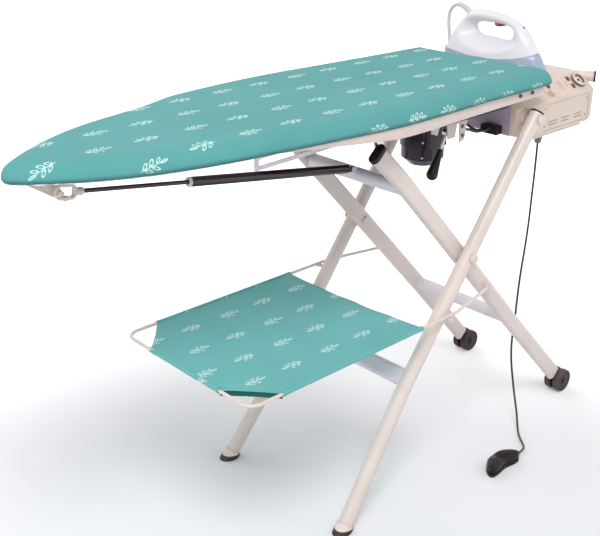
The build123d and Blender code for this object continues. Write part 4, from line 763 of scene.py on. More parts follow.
pad_rings = [middle_ring(pad_top)]
for turn in [0.0] + roll_turns:
    inside = pad_inset + roll_in * (1 - math.sin(turn))
    pad_rings.append(pad_ring(inside, pad_top - pad_down * (1 - math.cos(turn))))
pad_rings.append(pad_ring(pad_inset, pad_under))
pad_rings.append(pad_ring(pad_inset + pad_tuck, pad_under))
pad_rings.append(middle_ring(pad_under))
pad_flats = [Vector(point[:2]) for ring in pad_rings for point in ring]
pad = cloth_skin("pad", pad_rings, pad_flats, felt, "board", 0)
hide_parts("felt_pad")

# %% Hem
hem_end_x = cover_low.x + 0.37
hem_points = [i for i in range(-edge_steps // 2, edge_steps // 2)
              if board_edge[i % edge_steps].x < hem_end_x]
hem_width_step, hem_lift = 0.004, 0.0004
hem_profile = [(0.0035, 0.0022), (0.0030, 0.0002), (0.0065, -0.0014), (0.0110, -0.0016),
               (0.0160, -0.0006), (0.0190, 0.0010), (0.0165, 0.0022)]
hem_rings, hem_flats = [], []
for row, (distance, height) in enumerate(hem_profile):
    ring = []
    for i in hem_points:
        gather = pucker(i % edge_steps, 1.0)
        place = drawn_in(i % edge_steps, distance + gather * 0.9)
        ring.append((place.x, place.y, hem_z + height + gather * 0.8 - hem_lift))
        hem_flats.append(Vector((i * edge_step, row * hem_width_step)))
    hem_rings.append(ring)
cloth_skin("hem", hem_rings, hem_flats, white_cotton, "board", 0.0006, False)

# %% [markdown]
# ## The shelf's cloth
# The clothes shelf is a sheet of the same print, stretched over a wire frame. Its two far corners
# are cut off, its edges are sewn into sleeves round the wire, and it sags a little between them,
# more at the free edge. One sheet folded round the wire would need many small faces, so the sheet,
# the sleeves and the hems that hang along the cut corners are separate meshes. The hems are dark
# with painted shade, the shade under the cut corners.

# %% Shelf cloth
wire_low, wire_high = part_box("shelf_frame")
wire_radius = 0.0035
shelf_z = 0.410
shelf_half = wire_high.y - wire_radius
shelf_end_x = wire_low.x + wire_radius
cloth_front_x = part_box("shelf_cloth")[1].x
front_skew = 0.014
corner_x = 0.078
corner_y = 0.088
sag = 0.0042
cloth_columns = 60
cloth_rows = 54


def cloth_half(x):
    """Half the sheet's width at a place along the shelf, whose cut corners are pulled in."""
    share = min(1.0, (x - shelf_end_x) / corner_x)
    pulled = math.sin(math.pi * share) * 0.004 if share < 1 else 0
    return shelf_half - corner_y * (1 - share) - pulled


def cloth_sag(x, y):
    half = cloth_half(x)
    along = (x - shelf_end_x) / (cloth_front_x - shelf_end_x)
    across = max(0.0, 1 - (y / half) ** 2)
    hang = sag * across * min(1.0, 2.5 * along) * (0.75 + 0.5 * along)
    ripple = 0.0009 * math.sin(y * 60 + 3 * math.sin(x * 11)) * across * along ** 2
    pull = 0.0006 * noise.noise(Vector((x * 14, y * 14, 2.0)))
    return -hang + ripple + pull * across


sheet_rows, sheet_flats = [], []
sheet_length = cloth_front_x - shelf_end_x
for row in range(cloth_rows + 1):
    x = shelf_end_x + sheet_length * row / cloth_rows
    half = cloth_half(x)
    line = []
    for column in range(cloth_columns + 1):
        y = half * (2 * column / cloth_columns - 1)
        skew = front_skew * (y / half + 1) / 2 * (row / cloth_rows) ** 4
        line.append((x - skew, y, shelf_z + cloth_sag(x, y) + 0.0006))
        sheet_flats.append(Vector((x - skew, y)))
    sheet_rows.append(line)
shelf_sheet = cloth_skin(
    "shelf_sheet", sheet_rows, sheet_flats, shelf_print_lightened, "shelf", cloth_thick, False
)
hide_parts("shelf_cloth")

# %% Sleeves round the wire
sleeve_steps, sleeve_sides = 60, 20
sleeve_gap, mouth_flare, sleeve_play = 0.0013, 0.0006, 0.0003


def sleeve(name, start, end):
    """Cotton sewn round the wire, whose mouths flare a little and whose cloth is a little loose."""
    start, end = Vector((*start, shelf_z)), Vector((*end, shelf_z))
    _, side, up = square_to(end - start)
    rings, flats = [], []
    for i in range(sleeve_steps + 1):
        share = i / sleeve_steps
        place = start.lerp(end, share)
        mouth = mouth_flare * max(0, 1 - min(share, 1 - share) * 25)
        ring = []
        for k in range(sleeve_sides):
            turn = math.tau * k / sleeve_sides
            loose = sleeve_play * noise.noise(Vector((place.x * 60, place.y * 60, k)))
            radius = wire_radius + sleeve_gap + mouth + loose
            ring.append(place + (side * math.cos(turn) + up * math.sin(turn)) * radius)
            flats.append(Vector((place.x + k * sleeve_gap, place.y + k * sleeve_gap)))
        rings.append(ring)
    cloth_skin(name, rings, flats, shelf_print_lightened, "shelf", 0)


corner_in = shelf_end_x + corner_x
cloth_rear_x = cloth_front_x - front_skew
sleeve("sleeve_front", (corner_in, -shelf_half), (cloth_front_x, -shelf_half))
sleeve("sleeve_rear", (corner_in, shelf_half), (cloth_rear_x, shelf_half))
sleeve("sleeve_end", (shelf_end_x, corner_y - shelf_half), (shelf_end_x, shelf_half - corner_y))

# %% Hems of the cut corners
corner_steps = 30
corner_drops = (0.0004, -0.0055, -0.0118)


def corner_hem(name, side):
    """The doubled hem that hangs along a cut corner, a little puckered, dark with painted shade."""
    rows, flats = [], []
    for drop in corner_drops:
        row = []
        for step in range(corner_steps + 1):
            share = step / corner_steps
            x = shelf_end_x + corner_x * share
            y = side * cloth_half(x)
            loose = 0.0007 * noise.noise(Vector((step * 0.5, side, drop * 300)))
            inward = 0.0018 + loose - drop * 0.1
            flats.append(Vector((x, y + drop)))
            row.append((x + inward, y - side * inward, shelf_z + drop))
        rows.append(row)
    cloth_skin(name, rows, flats, teal_painted_shade, "shelf", cloth_thick, False)


corner_hem("corner_hem_front", -1)
corner_hem("corner_hem_rear", 1)

# %% [markdown]
# ## Cords
# Three kinds of line leave the table: the steam hose from the iron, two cables under the board and
# the pedal's cord. Each is one smooth curve through the same points as the solid that it replaces.
# The order is set after the points, because a new spline has too few points to hold it. A curve
# has to move as one, so the hose, which stretches between the iron and the board, is a tube of
# faces along that same curve.

# %% Routes
hose_points = [
    (0.1525, 0.9673), (0.1668, 0.9745), (0.1828, 0.9738), (0.1964, 0.9654), (0.2051, 0.9497),
    (0.2051, 0.9217), (0.1982, 0.8864), (0.1970, 0.8504), (0.2026, 0.8262), (0.2008, 0.8113),
    (0.1923, 0.7990), (0.1790, 0.7920), (0.1640, 0.7920),
]
iron_x = scissor_x + 0.357
hose_path = [(iron_x, y, z) for y, z in hose_points]


def from_scissor(*places):
    """A route's points, which are measured along the table from where the legs cross."""
    return [(scissor_x + x, y, z) for x, y, z in places]


switch_cable_path = from_scissor(
    (0.022, -0.124, 0.786), (0.044, -0.121, 0.780), (0.072, -0.113, 0.768), (0.104, -0.106, 0.762),
    (0.130, -0.102, 0.760), (0.147, -0.102, 0.760),
)
fan_cable_path = from_scissor(
    (0.100, -0.030, 0.820), (0.110, -0.034, 0.800), (0.112, -0.046, 0.776), (0.118, -0.066, 0.758),
    (0.131, -0.082, 0.752), (0.147, -0.082, 0.752),
)
pedal_cord_path = from_scissor(
    (0.292, -0.128, 0.704), (0.292, -0.128, 0.640), (0.291, -0.127, 0.572), (0.289, -0.127, 0.505),
    (0.283, -0.127, 0.438), (0.273, -0.128, 0.374), (0.271, -0.127, 0.312), (0.270, -0.127, 0.252),
    (0.260, -0.130, 0.202), (0.250, -0.140, 0.158), (0.243, -0.154, 0.114), (0.238, -0.168, 0.070),
    (0.226, -0.188, 0.032), (0.204, -0.208, 0.012), (0.178, -0.232, 0.006), (0.156, -0.262, 0.005),
    (0.140, -0.273, 0.006), (0.121, -0.273, 0.006),
)
print("points:", len(hose_path), "hose,", len(pedal_cord_path), "pedal cord")

# %% Smooth lines
def route_curve(name, path, diameter):
    """The smooth curve over a route's points; with no diameter it is a bare line."""
    curve = bpy.data.curves.new(name, "CURVE")
    curve.dimensions = "3D"
    curve.bevel_depth = diameter / 2
    curve.bevel_resolution = 5
    curve.resolution_u = 16
    curve.use_fill_caps = diameter > 0
    spline = curve.splines.new("NURBS")
    spline.points.add(len(path) - 1)
    for point, place in zip(spline.points, path):
        point.co = (*place, 1.0)
    spline.order_u = 3
    spline.use_endpoint_u = True
    return curve


def cord_curve(name, path, diameter, finish, body):
    curve = route_curve(name, path, diameter)
    curve.materials.append(finish.material)
    return fitted(shown(name, curve), body)


def line_points(path):
    """The points of a route's smooth line, as Blender makes them."""
    bare = bpy.data.objects.new("line", route_curve("line", path, 0))
    mesh = bpy.data.meshes.new_from_object(bare)
    points = [vertex.co.copy() for vertex in mesh.vertices]
    bpy.data.meshes.remove(mesh)
    bpy.data.curves.remove(bare.data)
    return points


def path_length(path):
    points = line_points(path)
    return sum((b - a).length for a, b in zip(points, points[1:]))


print("pedal cord:", round(path_length(pedal_cord_path), 3))
print("hose:", round(path_length(hose_path), 3))

# %% Hose
hose_line = line_points(hose_path)
hose = shown("steam_hose", mesh_of("steam_hose", rod(hose_line, 0.0045, 20), hose_plastic))
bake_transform(hose)
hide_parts("iron_hose")
path_length(hose_path)

# %% Pedal cord and cables
pedal_cord = cord_curve(
    "pedal_cord_line", pedal_cord_path, 0.005, rubber, "board"
)
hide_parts("pedal_cord")
path_length(pedal_cord_path)
switch_cable = cord_curve(
    "switch_cable", switch_cable_path, 0.006, rubber, "board"
)
fan_cable = cord_curve("fan_cable", fan_cable_path, 0.006, rubber, "board")
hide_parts("control_cables")
for cable, path in ((switch_cable, switch_cable_path), (fan_cable, fan_cable_path)):
    path_length(path)
print("cables:", [round(path_length(path), 3) for path in (switch_cable_path, fan_cable_path)])

# %% [markdown]
# ## The iron
# The body with its handle is a ring of plastic round the hand's opening. Seen from the side it
# lies between two outlines, the opening's and its own. Spokes run from one to the other, and at
# each place along a spoke the body has a thickness: full low down where it meets the skirt, slim
# round the opening where the fingers go, and rounded off to nothing at its edges. It could be
# sculpted by hand as well, but the spokes keep every measure in view and give the same mesh each
# time.

# %% The iron's two outlines
iron_spokes = 180
iron_steps = 22
outer_outline = [
    (0.1815, 0.8790), (0.1760, 0.9030), (0.1640, 0.9290), (0.1470, 0.9530), (0.1310, 0.9670),
    (0.1080, 0.9712), (0.0800, 0.9708), (0.0520, 0.9680), (0.0250, 0.9630), (0.0030, 0.9560),
    (-0.0170, 0.9445), (-0.0320, 0.9310), (-0.0450, 0.9160), (-0.0560, 0.9010), (-0.0650, 0.8880),
]
seam_outline = [
    (-0.0650, 0.8880), (-0.0440, 0.8815), (-0.0180, 0.8755), (0.0120, 0.8715), (0.0440, 0.8692),
    (0.0760, 0.8690), (0.1080, 0.8705), (0.1380, 0.8735), (0.1620, 0.8765), (0.1815, 0.8790),
]
hole_low, hole_high = Vector((0.0060, 0.9080)), Vector((0.1180, 0.9435))
hole_middle = (hole_low + hole_high) / 2
slim_half, slim_reach = 0.0150, 0.034
inner_round, outer_round = 0.011, 0.019


def smooth_loop(corners, count, rounds):
    """Points at equal steps round a closed outline whose corners are eased."""
    loop = walked([Vector(corner) for corner in corners], count)
    for _ in range(rounds):
        loop = [(loop[i - 1] + loop[i] * 2 + loop[(i + 1) % count]) / 4 for i in range(count)]
    return loop


def smooth_share(share):
    share = clamped(share)
    return share * share * (3 - 2 * share)


def hole_edge(turn):
    """The opening's outline: a rounded box whose floor rises a little toward the heel."""
    across, up = math.cos(turn), math.sin(turn)
    reach = (abs(across) ** 3.2 + abs(up) ** 3.2) ** (-1 / 3.2)
    half = (hole_high - hole_low) / 2
    place = hole_middle + Vector((across * half.x, up * half.y)) * reach
    if up < 0:
        place.y += 0.0035 * smooth_share((place.x - 0.030) / 0.04)
    return place


outer_loop = smooth_loop(outer_outline + seam_outline[1:-1], iron_spokes, 4)
outer_turns = [math.atan2(p.y - hole_middle.y, (p.x - hole_middle.x) * 0.42) for p in outer_loop]
hole_loop = [hole_edge(turn) for turn in outer_turns]
print("spokes between the outlines:", len(hole_loop))

# %% The iron's thickness
seam_points = [Vector(point) for point in seam_outline]
iron_tip, iron_wide, iron_heel = -0.092, 0.073, 0.182
iron_half = 0.0565
nose_rake = 0.026


def plan_half(y, tip):
    """Half the iron's width at a place, where its outline starts at a tip."""
    if y < iron_wide:
        share = max(0.0, (y - tip) / (iron_wide - tip))
        return iron_half * max(0.0, 1 - (1 - share) ** 2.1) ** 0.66
    return iron_half - 0.0075 * ((y - iron_wide) / (iron_heel - iron_wide)) ** 2


def seam_height(y):
    for a, b in zip(seam_points, seam_points[1:]):
        if a.x <= y <= b.x:
            return a.y + (b.y - a.y) * (y - a.x) / (b.x - a.x)
    return seam_points[0].y if y < seam_points[0].x else seam_points[-1].y


def body_half(place, from_hole, from_rim, on_seam):
    """Half the body's thickness at a place between the two outlines."""
    above = max(0.0, place.y - seam_height(place.x))
    full = max(0.002, plan_half(place.x, iron_tip + nose_rake) * 0.965 - 0.0006 - above * 0.30)
    slim = min(full, slim_half)
    half = slim + (full - slim) * smooth_share(from_hole / slim_reach)
    inner = min(1.0, from_hole / inner_round)
    outer = min(1.0, from_rim / outer_round)
    half *= math.sqrt(max(0.0, 1 - (1 - inner) ** 2))
    if not on_seam:
        half *= math.sqrt(max(0.0, 1 - (1 - outer) ** 2))
    return half


print("half as wide as", round(plan_half(iron_wide, iron_tip), 4), "m at the widest place")

# %% Iron body
def iron_ring(share, side):
    """All spokes' points at a share of their length, on one side of the iron."""
    ring = []
    for hole_point, outer_point in zip(hole_loop, outer_loop):
        place = hole_point.lerp(outer_point, share)
        span = (outer_point - hole_point).length
        low = smooth_share((seam_height(outer_point.x) + 0.004 - outer_point.y) / 0.003)
        half = body_half(place, share * span, (1 - share) * span, False)
        half = half * (1 - low) + body_half(place, share * span, 1.0, True) * low
        ring.append((iron_x + side * half, place.x, place.y))
    return ring


spoke_shares = [(1 - math.cos(math.pi * i / iron_steps)) / 2 for i in range(iron_steps + 1)]
body_rings = [iron_ring(share, -1) for share in spoke_shares]
body_rings += [iron_ring(share, 1) for share in reversed(spoke_shares)]
iron_shell = piece("iron_shell", skin(body_rings), white_plastic, "iron", 50)
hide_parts("iron_body")

# %% [markdown]
# ## Skirt, trigger and boot
# Below the body a tinted skirt closes the iron's water tank. It is a stack of rings with the
# sole's outline, whose nose leans back as they rise. The trigger hangs in the hand's opening, a
# ribbed boot guards the hose where it leaves the heel, and a lens tells that the iron is hot.

# %% Skirt
skirt_steps = 70
skirt_corner = 0.016


def skirt_ring(share, inset):
    """The skirt's outline at a share of its height, whose nose leans back as it rises."""
    sides = []
    for k in range(skirt_steps + 1):
        along = (1 - math.cos(math.pi * k / skirt_steps)) / 2
        y = iron_tip + (iron_heel - iron_tip) * along
        half = plan_half(y, iron_tip)
        back = max(0.0, y - (iron_heel - skirt_corner)) / skirt_corner
        half -= skirt_corner * (1 - math.sqrt(max(0.0, 1 - back ** 2)))
        y += nose_rake * share * (1 - along) ** 3
        half = half * (1 - 0.035 * share ** 2) - inset
        sides.append((y - inset * (2 * along - 1), max(half, 0.0004)))
    ring = []
    for side, run in ((1, sides), (-1, sides[::-1])):
        for y, half in run:
            z = skirt_bottom + (seam_height(y) - skirt_bottom) * share
            ring.append((iron_x + side * half, y, z))
    return ring


skirt_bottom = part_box("iron_skirt")[0].z
skirt_rings = [skirt_ring(share, inset) for share, inset in (
    (0.0, 0.004), (0.0, 0.0012), (0.04, 0.0003), (0.12, 0.0), (0.3, 0.0), (0.5, 0.0), (0.7, 0.0),
    (0.88, 0.0), (0.97, 0.0003), (1.0, 0.0012), (1.0, 0.005),
)]
iron_band = piece("iron_band", skin(skirt_rings, capped=True), skirt_plastic, "iron",
                  50)
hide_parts("iron_skirt")

# %% Trigger
trigger_profile = [(0.0640, 0.9440), (0.0620, 0.9385), (0.0540, 0.9362), (0.0440, 0.9375),
                   (0.0330, 0.9400), (0.0300, 0.9440)]
trigger_middle = Vector((0.047, 0.944))
trigger_rings = [
    [(iron_x + across, *trigger_middle.lerp(Vector(point), small)) for point in trigger_profile]
    for across, small in ((-0.0058, 0.8), (-0.0048, 0.97), (0, 1.0), (0.0048, 0.97), (0.0058, 0.8))
]
trigger = piece("trigger_lever", skin(trigger_rings, capped=True), red_plastic, "iron_trigger",
                40)
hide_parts("iron_trigger")

# %% Boot and lens
boot_line = [Vector((iron_x, 0.1350, 0.9548)), Vector((iron_x, 0.1410, 0.9592)),
             Vector((iron_x, 0.1468, 0.9633))]
boot_line += [point for point in hose_line[::3] if point.y < 0.1790 and point.z > 0.95]
boot_taper, boot_groove = 0.36, 0.84
boot_widths = [(1.0 - boot_taper * i / len(boot_line)) * (1.0 if i % 2 else boot_groove)
               for i in range(len(boot_line))]
relief = piece("hose_boot", rod(boot_line, 0.0086, 24, boot_widths), hose_plastic, "iron",
               60)
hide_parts("hose_relief")
lens_profile = [(0.0, 0.0016), (0.0024, 0.0012), (0.0036, 0.0), (0.0038, -0.003), (0.0, -0.003)]
piece("iron_lens", turned(lens_profile, (iron_x, -0.0185, 0.9425), (0, -0.62, 0.78), 24),
      lamp_plastic, "iron")

# %% [markdown]
# ## Controls
# The controls sit on the bevelled edge of the box. `bevel_place` gives a point on it from a
# distance along the box, one up the slope and one out of it. The gauge gets a face with plain
# ticks, which sums draw from the angle and the distance to its middle, the switches get their oval
# caps, and rows of dashes stand where such boxes have their labels.

# %% Controls on the bevel
box_nose_x = scissor_x + 0.165
slope_up = Vector((0, 45, 35)).normalized()
slope_out = Vector((0, -35, 45)).normalized()
slope_middle = Vector((0, -0.1275, 0.8225))


def bevel_place(along, up, out=0.0):
    """A point of the bevel, from three distances in metres."""
    return slope_middle + Vector((box_nose_x + along, 0, 0)) + slope_up * up + slope_out * out


print("the bevel faces", [round(value, 2) for value in slope_out])

# %% The gauge's face
gauge_place = (0.271, 0.0025)
dial = Finish("dial", {"Roughness": 0.4, "Coat Weight": 0.6})
dial_x, dial_y, _ = dial.axes(dial.flat())
dial_reach = (dial_x * dial_x + dial_y * dial_y).root()
dial_turn = dial_x.turn_from(dial_y) / math.tau
tick = ((dial_turn * 24.0).part() - 0.5).size()
fine_tick = ((dial_turn * 72.0).part() - 0.5).size()
scale_gap = dial_turn.size().step(0.40, 0.39)
rim = dial_reach.step(0.86, 0.82)
long_ticks = tick.step(0.10, 0.06) * dial_reach.step(0.60, 0.64) * rim
short_ticks = fine_tick.step(0.22, 0.12) * dial_reach.step(0.73, 0.76) * rim
arc = dial_reach.step(0.86, 0.88) * dial_reach.step(0.94, 0.92) * dial_turn.step(0.12, 0.13)
ticked = dial.mix((long_ticks | short_ticks) * scale_gap, paint(226, 214, 206), paint(70, 60, 62))
dial.give("Base Color", dial.mix(arc * scale_gap, ticked, paint(150, 58, 60)))

face_middle = bevel_place(*gauge_place, 0.0020)
face_radius, face_thick = 0.0154, 0.0004
face_profile = [(0.0, face_thick), (face_radius - 0.0003, face_thick),
                (face_radius, face_thick * 0.6), (face_radius, 0.0), (0.0, 0.0)]
gauge_face = piece("gauge_face", turned(face_profile, face_middle, slope_out, 48), dial, "board",
                   30)
face_up = slope_out.cross(Vector((1, 0, 0))).normalized()
from_middle = [vertex.co - face_middle for vertex in gauge_face.data.vertices]
flat_map(gauge_face, [Vector((far.x, far.dot(face_up))) / face_radius for far in from_middle])

# %% Switch caps
cap_along = 0.241
cap_half_long, cap_half_wide, cap_height_up = 0.0058, 0.0042, 0.0036
cap_turns = [math.tau * i / 32 for i in range(32)]
cap_layers = [(1.0, -0.003), (1.0, 0.35 * cap_height_up), (0.94, 0.7 * cap_height_up),
              (0.8, 0.92 * cap_height_up), (0.5, cap_height_up), (0.15, cap_height_up)]
for node, up in (("rocker_lower", -0.008), ("rocker_upper", 0.014)):
    cap_rings = [
        [bevel_place(cap_along + math.cos(t) * cap_half_wide * share,
                     up + math.sin(t) * cap_half_long * share, out) for t in cap_turns]
        for share, out in cap_layers
    ]
    cap = piece("cap_" + node, skin(cap_rings, capped=True), dark_red, node, 60)
    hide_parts(node)

# %% Rows of dashes
dash_length, dash_height, dash_rise, row_gap = 0.0032, 0.0021, 0.00025, 0.0052
box_faces = [(3, 2, 1, 0), (4, 5, 6, 7), (0, 1, 5, 4), (1, 2, 6, 5), (2, 3, 7, 6), (3, 0, 4, 7)]


def dashes(name, along, up, rows, gaps):
    """Rows of short printed dashes on the bevel, a hair proud of it."""
    shape = bmesh.new()
    for row in range(rows):
        for k, gap in enumerate(gaps):
            long = dash_length * (0.7 + 0.3 * math.sin(1.7 * row + 2.1 * k))
            near, far = up - row * row_gap, up - row * row_gap + dash_height
            corners = [
                shape.verts.new(bevel_place(along + gap + dx, v, out))
                for out in (0.0, dash_rise)
                for dx, v in ((0, near), (long, near), (long, far), (0, far))
            ]
            for face in box_faces:
                shape.faces.new([corners[i] for i in face])
    piece(name, shape, label_print_and_shade, "board", 30)


dashes("marks_left", 0.196, 0.0125, 5, (0.0, 0.0046, 0.0094))
dashes("marks_right", 0.219, 0.0060, 3, (0.0, 0.0044))

# %% [markdown]
# ## Wheels
# Each wheel is a dark rubber tread on a plastic hub. Both are turned profiles: the tread has
# rounded shoulders, and the hub's two faces dip between its rim and the boss round the axle. They
# are separate pieces, because one mesh would need a second finish by face.

# %% Treads and hubs
tread_profile = [
    (0.0268, -0.0080), (0.0274, -0.0085), (0.0284, -0.0084), (0.0294, -0.0072), (0.0299, -0.0040),
    (0.0300, 0.0), (0.0299, 0.0040), (0.0294, 0.0072), (0.0284, 0.0084), (0.0274, 0.0085),
    (0.0268, 0.0080), (0.0268, -0.0080),
]
hub_profile = [
    (0.0040, -0.0084), (0.0080, -0.0084), (0.0088, -0.0079), (0.0096, -0.0074), (0.0200, -0.0071),
    (0.0272, -0.0076), (0.0272, 0.0076), (0.0200, 0.0071), (0.0096, 0.0074), (0.0088, 0.0079),
    (0.0080, 0.0084), (0.0040, 0.0084), (0.0040, -0.0084),
]
for name in ("wheel_front_outer", "wheel_front_inner", "wheel_rear_inner", "wheel_rear_outer"):
    middle = sum(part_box(name), Vector()) / 2
    tread = piece("tread_" + name, turned(tread_profile, middle, (0, 1, 0), 64), wheel_tread, name,
                  30)
    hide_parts(name)
    piece("face_" + name, turned(hub_profile, middle, (0, 1, 0), 64), wheel_face, name,
          30)

# %% [markdown]
# ## Foot pedal
# The pedal is a kidney of dark plastic with a saddle across its waist. Its outline runs round a
# bent spine, and each ring above it is drawn in toward that spine, so that the top comes out as a
# pillow. The base is the same kidney, cut off flat.

# %% Foot pedal
pedal_middle = sum(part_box("pedal_treadle"), Vector()) / 2
pedal_half = 0.033


def pedal_ring(share, rise, saddle=0.0):
    """One ring of the kidney at a height, drawn in toward its spine by a share."""
    ring = []
    for k in range(64):
        turn = math.tau * k / 64
        spine_x = pedal_half * math.cos(turn)
        bend = 0.015 * (1 - (spine_x / pedal_half) ** 2) - 0.0095
        waist = 0.0200 - 0.0030 * math.exp(-(spine_x / 0.014) ** 2)
        x = spine_x + waist * math.cos(turn) * share
        y = bend + waist * math.sin(turn) * share * 1.1
        z = rise - saddle * math.exp(-((x + 0.25 * y) / 0.013) ** 2)
        ring.append((pedal_middle.x + x, pedal_middle.y + y, z))
    return ring


foot_layers = [(0.2, 0.0), (0.9, 0.0), (1.0, 0.0012), (1.0, 0.0075), (0.95, 0.0090), (0.2, 0.0090)]
foot = piece("pedal_foot", skin([pedal_ring(*layer) for layer in foot_layers], capped=True),
             grip_plastic, "board", 40)
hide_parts("pedal_base")
neck_path = [(pedal_middle.x + 0.044 + 0.003 * k, pedal_middle.y, 0.006) for k in range(10)]
neck_widths = [1.0, 1.0, 0.8, 1.0, 0.8, 0.95, 0.75, 0.9, 0.7, 0.7]
piece("pedal_neck", rod(neck_path, 0.0046, 16, neck_widths), grip_plastic, "board",
      60)
plate_layers = [(0.2, 0.0118, 0), (0.95, 0.0118, 0), (1.0, 0.0132, 0), (0.99, 0.0170, 0.0004),
                (0.95, 0.0222, 0.0014), (0.86, 0.0258, 0.0030), (0.68, 0.0282, 0.0042),
                (0.42, 0.0294, 0.0048), (0.12, 0.0298, 0.0050)]
treadle = piece("pedal_plate", skin([pedal_ring(*layer) for layer in plate_layers], capped=True),
                grip_plastic, "treadle", 60)
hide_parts("pedal_treadle")

# %% [markdown]
# ## Turned trims
# Small bright parts stand out against the dark ones: the gauge's inlay, the socket's sleeve, the
# heads of the fan's rivets and the ends of the gas spring. On the real table they come off a lathe
# or a press, so each is a profile turned about its own axis. The rod itself keeps the solid's
# shape: a copy of it takes a second finish where its end fitting is.

# %% Gauge inlay and socket sleeve
def lathe(name, profile, middle, axis, steps, finish, body, sharp=50):
    """A small part turned about an axis."""
    return piece(name, turned(profile, middle, axis, steps), finish, body, sharp)


inlay_profile = [(0.0146, 0.0), (0.0146, 0.0006), (0.0176, 0.0004), (0.0182, 0.0), (0.0146, 0.0)]
lathe("gauge_inlay", inlay_profile, bevel_place(*gauge_place, 0.0070), slope_out, 64, dial,
      "board", 30)
socket_end = Vector((0.70957, -0.12131, 0.8275))
socket_out = Vector((0.5, -0.8660, 0.0))
sleeve_profile = [(0.01255, -0.0400), (0.0132, -0.0398), (0.0132, -0.0046), (0.01255, -0.0044)]
lathe("socket_sleeve", sleeve_profile, socket_end, socket_out, 48, leg_enamel, "board")

# %% Two-tone gas rod
fitting_length = 0.052
rod_copy = nodes["gas_rod"].copy()
rod_copy.data = nodes["gas_rod"].data.copy()
rod_copy.name = "two_tone_rod"
bpy.context.scene.collection.objects.link(rod_copy)
rod_copy.data.materials.append(leg_enamel.material)
rod_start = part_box("gas_rod")[0].x
for face in rod_copy.data.polygons:
    face.material_index = 1 if face.center.x < rod_start + fitting_length else 0
fitted(rod_copy, "spring_rod")
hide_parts("gas_rod")
print("pale faces of the rod:", sum(face.material_index for face in rod_copy.data.polygons))

# %% Rivets of the fan
fan_x = scissor_x + 0.036
rivet_profile = [(0.0, 0.0014), (0.0018, 0.0010), (0.0026, 0.0), (0.0026, -0.0012), (0.0, -0.0012)]
rivet_turn = math.radians(-140)
rivet_out = Vector((math.cos(rivet_turn), math.sin(rivet_turn), 0))
for k, (reach, height) in enumerate(((0.0522, 0.741), (0.0482, 0.705))):
    rivet_place = Vector((fan_x, 0, height)) + rivet_out * reach
    lathe("rivet_%d" % k, rivet_profile, rivet_place, rivet_out, 20, leg_enamel, "board")

# %% Ends of the gas spring
spring_eye = Vector((scissor_x - 0.188, 0, 0.716))
spring_pin = Vector((scissor_x - 0.868, 0, 0.824))
spring_along = (spring_pin - spring_eye).normalized()
mouth_profile = [(0.0049, -0.0004), (0.0049, 0.0012), (0.0080, 0.0016), (0.0094, 0.0008),
                 (0.0098, -0.0004), (0.0098, -0.0030), (0.0094, -0.0030), (0.0094, -0.0004),
                 (0.0049, -0.0004)]
mouth_reach = 0.4265
lathe("mouth_ring", mouth_profile, spring_eye + spring_along * mouth_reach, spring_along, 40,
      leg_enamel, "spring_cylinder")
eye_profile = [(0.0046, -0.0059), (0.0064, -0.0060), (0.0067, -0.0052), (0.0067, 0.0052),
               (0.0064, 0.0060), (0.0046, 0.0059), (0.0046, -0.0059)]
lathe("eye_ring", eye_profile, spring_eye, (0, 1, 0), 32, leg_enamel, "spring_cylinder")
tab_profile = [(0.0, -0.0022), (0.0046, -0.0022), (0.0052, -0.0016), (0.0052, 0.0016),
               (0.0046, 0.0022), (0.0, 0.0022)]
tab_place = spring_pin + Vector((0.0105, 0, -0.0125))
lathe("fitting_tab", tab_profile, tab_place, (0, 1, 0), 24, leg_enamel, "spring_rod")

# %% [markdown]
# ## The faces of the box
# The front panel has two rows of slots, a screw in each corner and a fine groove round it. Seen
# from the camera's distance these are a few dark lines. Thin pieces give them from any side, which
# lines drawn on the finish would not: strips of painted shade lie in the slots, and a line of
# painted shade runs round the panel. A thin sheet in a shaded lavender covers the nose side of the
# box: painted shade, where the board shades that face.

# %% Shades in the slots
panel_low, panel_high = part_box("side_panel")
panel_middle = (panel_low + panel_high) / 2
slots_z = panel_middle.z - (panel_high.z - panel_low.z) / 4
slot_half_long, slot_half_high = 0.0155, 0.0011
slot_step_x, slot_step_z = 0.051, 0.0072
# a dark strip in each slot: painted shade where the slot looks into the box
for column in (-1, 0, 1):
    for row in (-0.5, 0.5):
        x, z = panel_middle.x + column * slot_step_x, slots_z + row * slot_step_z
        strip = block((x - slot_half_long, panel_low.y + 0.0005, z - slot_half_high),
                      (x + slot_half_long, panel_low.y + 0.0012, z + slot_half_high))
        made = piece("slot_shade_%d_%d" % (column + 1, row + 0.5), strip, label_print_and_shade, "board")
        rounded(made, 0.0003)

# %% Screws and the painted shade round the panel
screw_radius, screw_inset = 0.0021, 0.0105
screw_profile = [(0.0, 0.0009), (screw_radius * 0.6, 0.0008), (screw_radius, 0.0),
                 (screw_radius, -0.0006), (0.0, -0.0006)]
screw_left, screw_right = panel_low.x + screw_inset, panel_high.x - screw_inset
screw_low, screw_high = panel_low.z + screw_inset, panel_high.z - screw_inset
for k, (x, z) in enumerate(((screw_left, screw_low), (screw_right, screw_low),
                            (screw_right, screw_high), (screw_left, screw_high))):
    lathe("panel_screw_%d" % k, screw_profile, (x, panel_low.y, z), (0, -1, 0), 20, grey_plastic,
          "board")

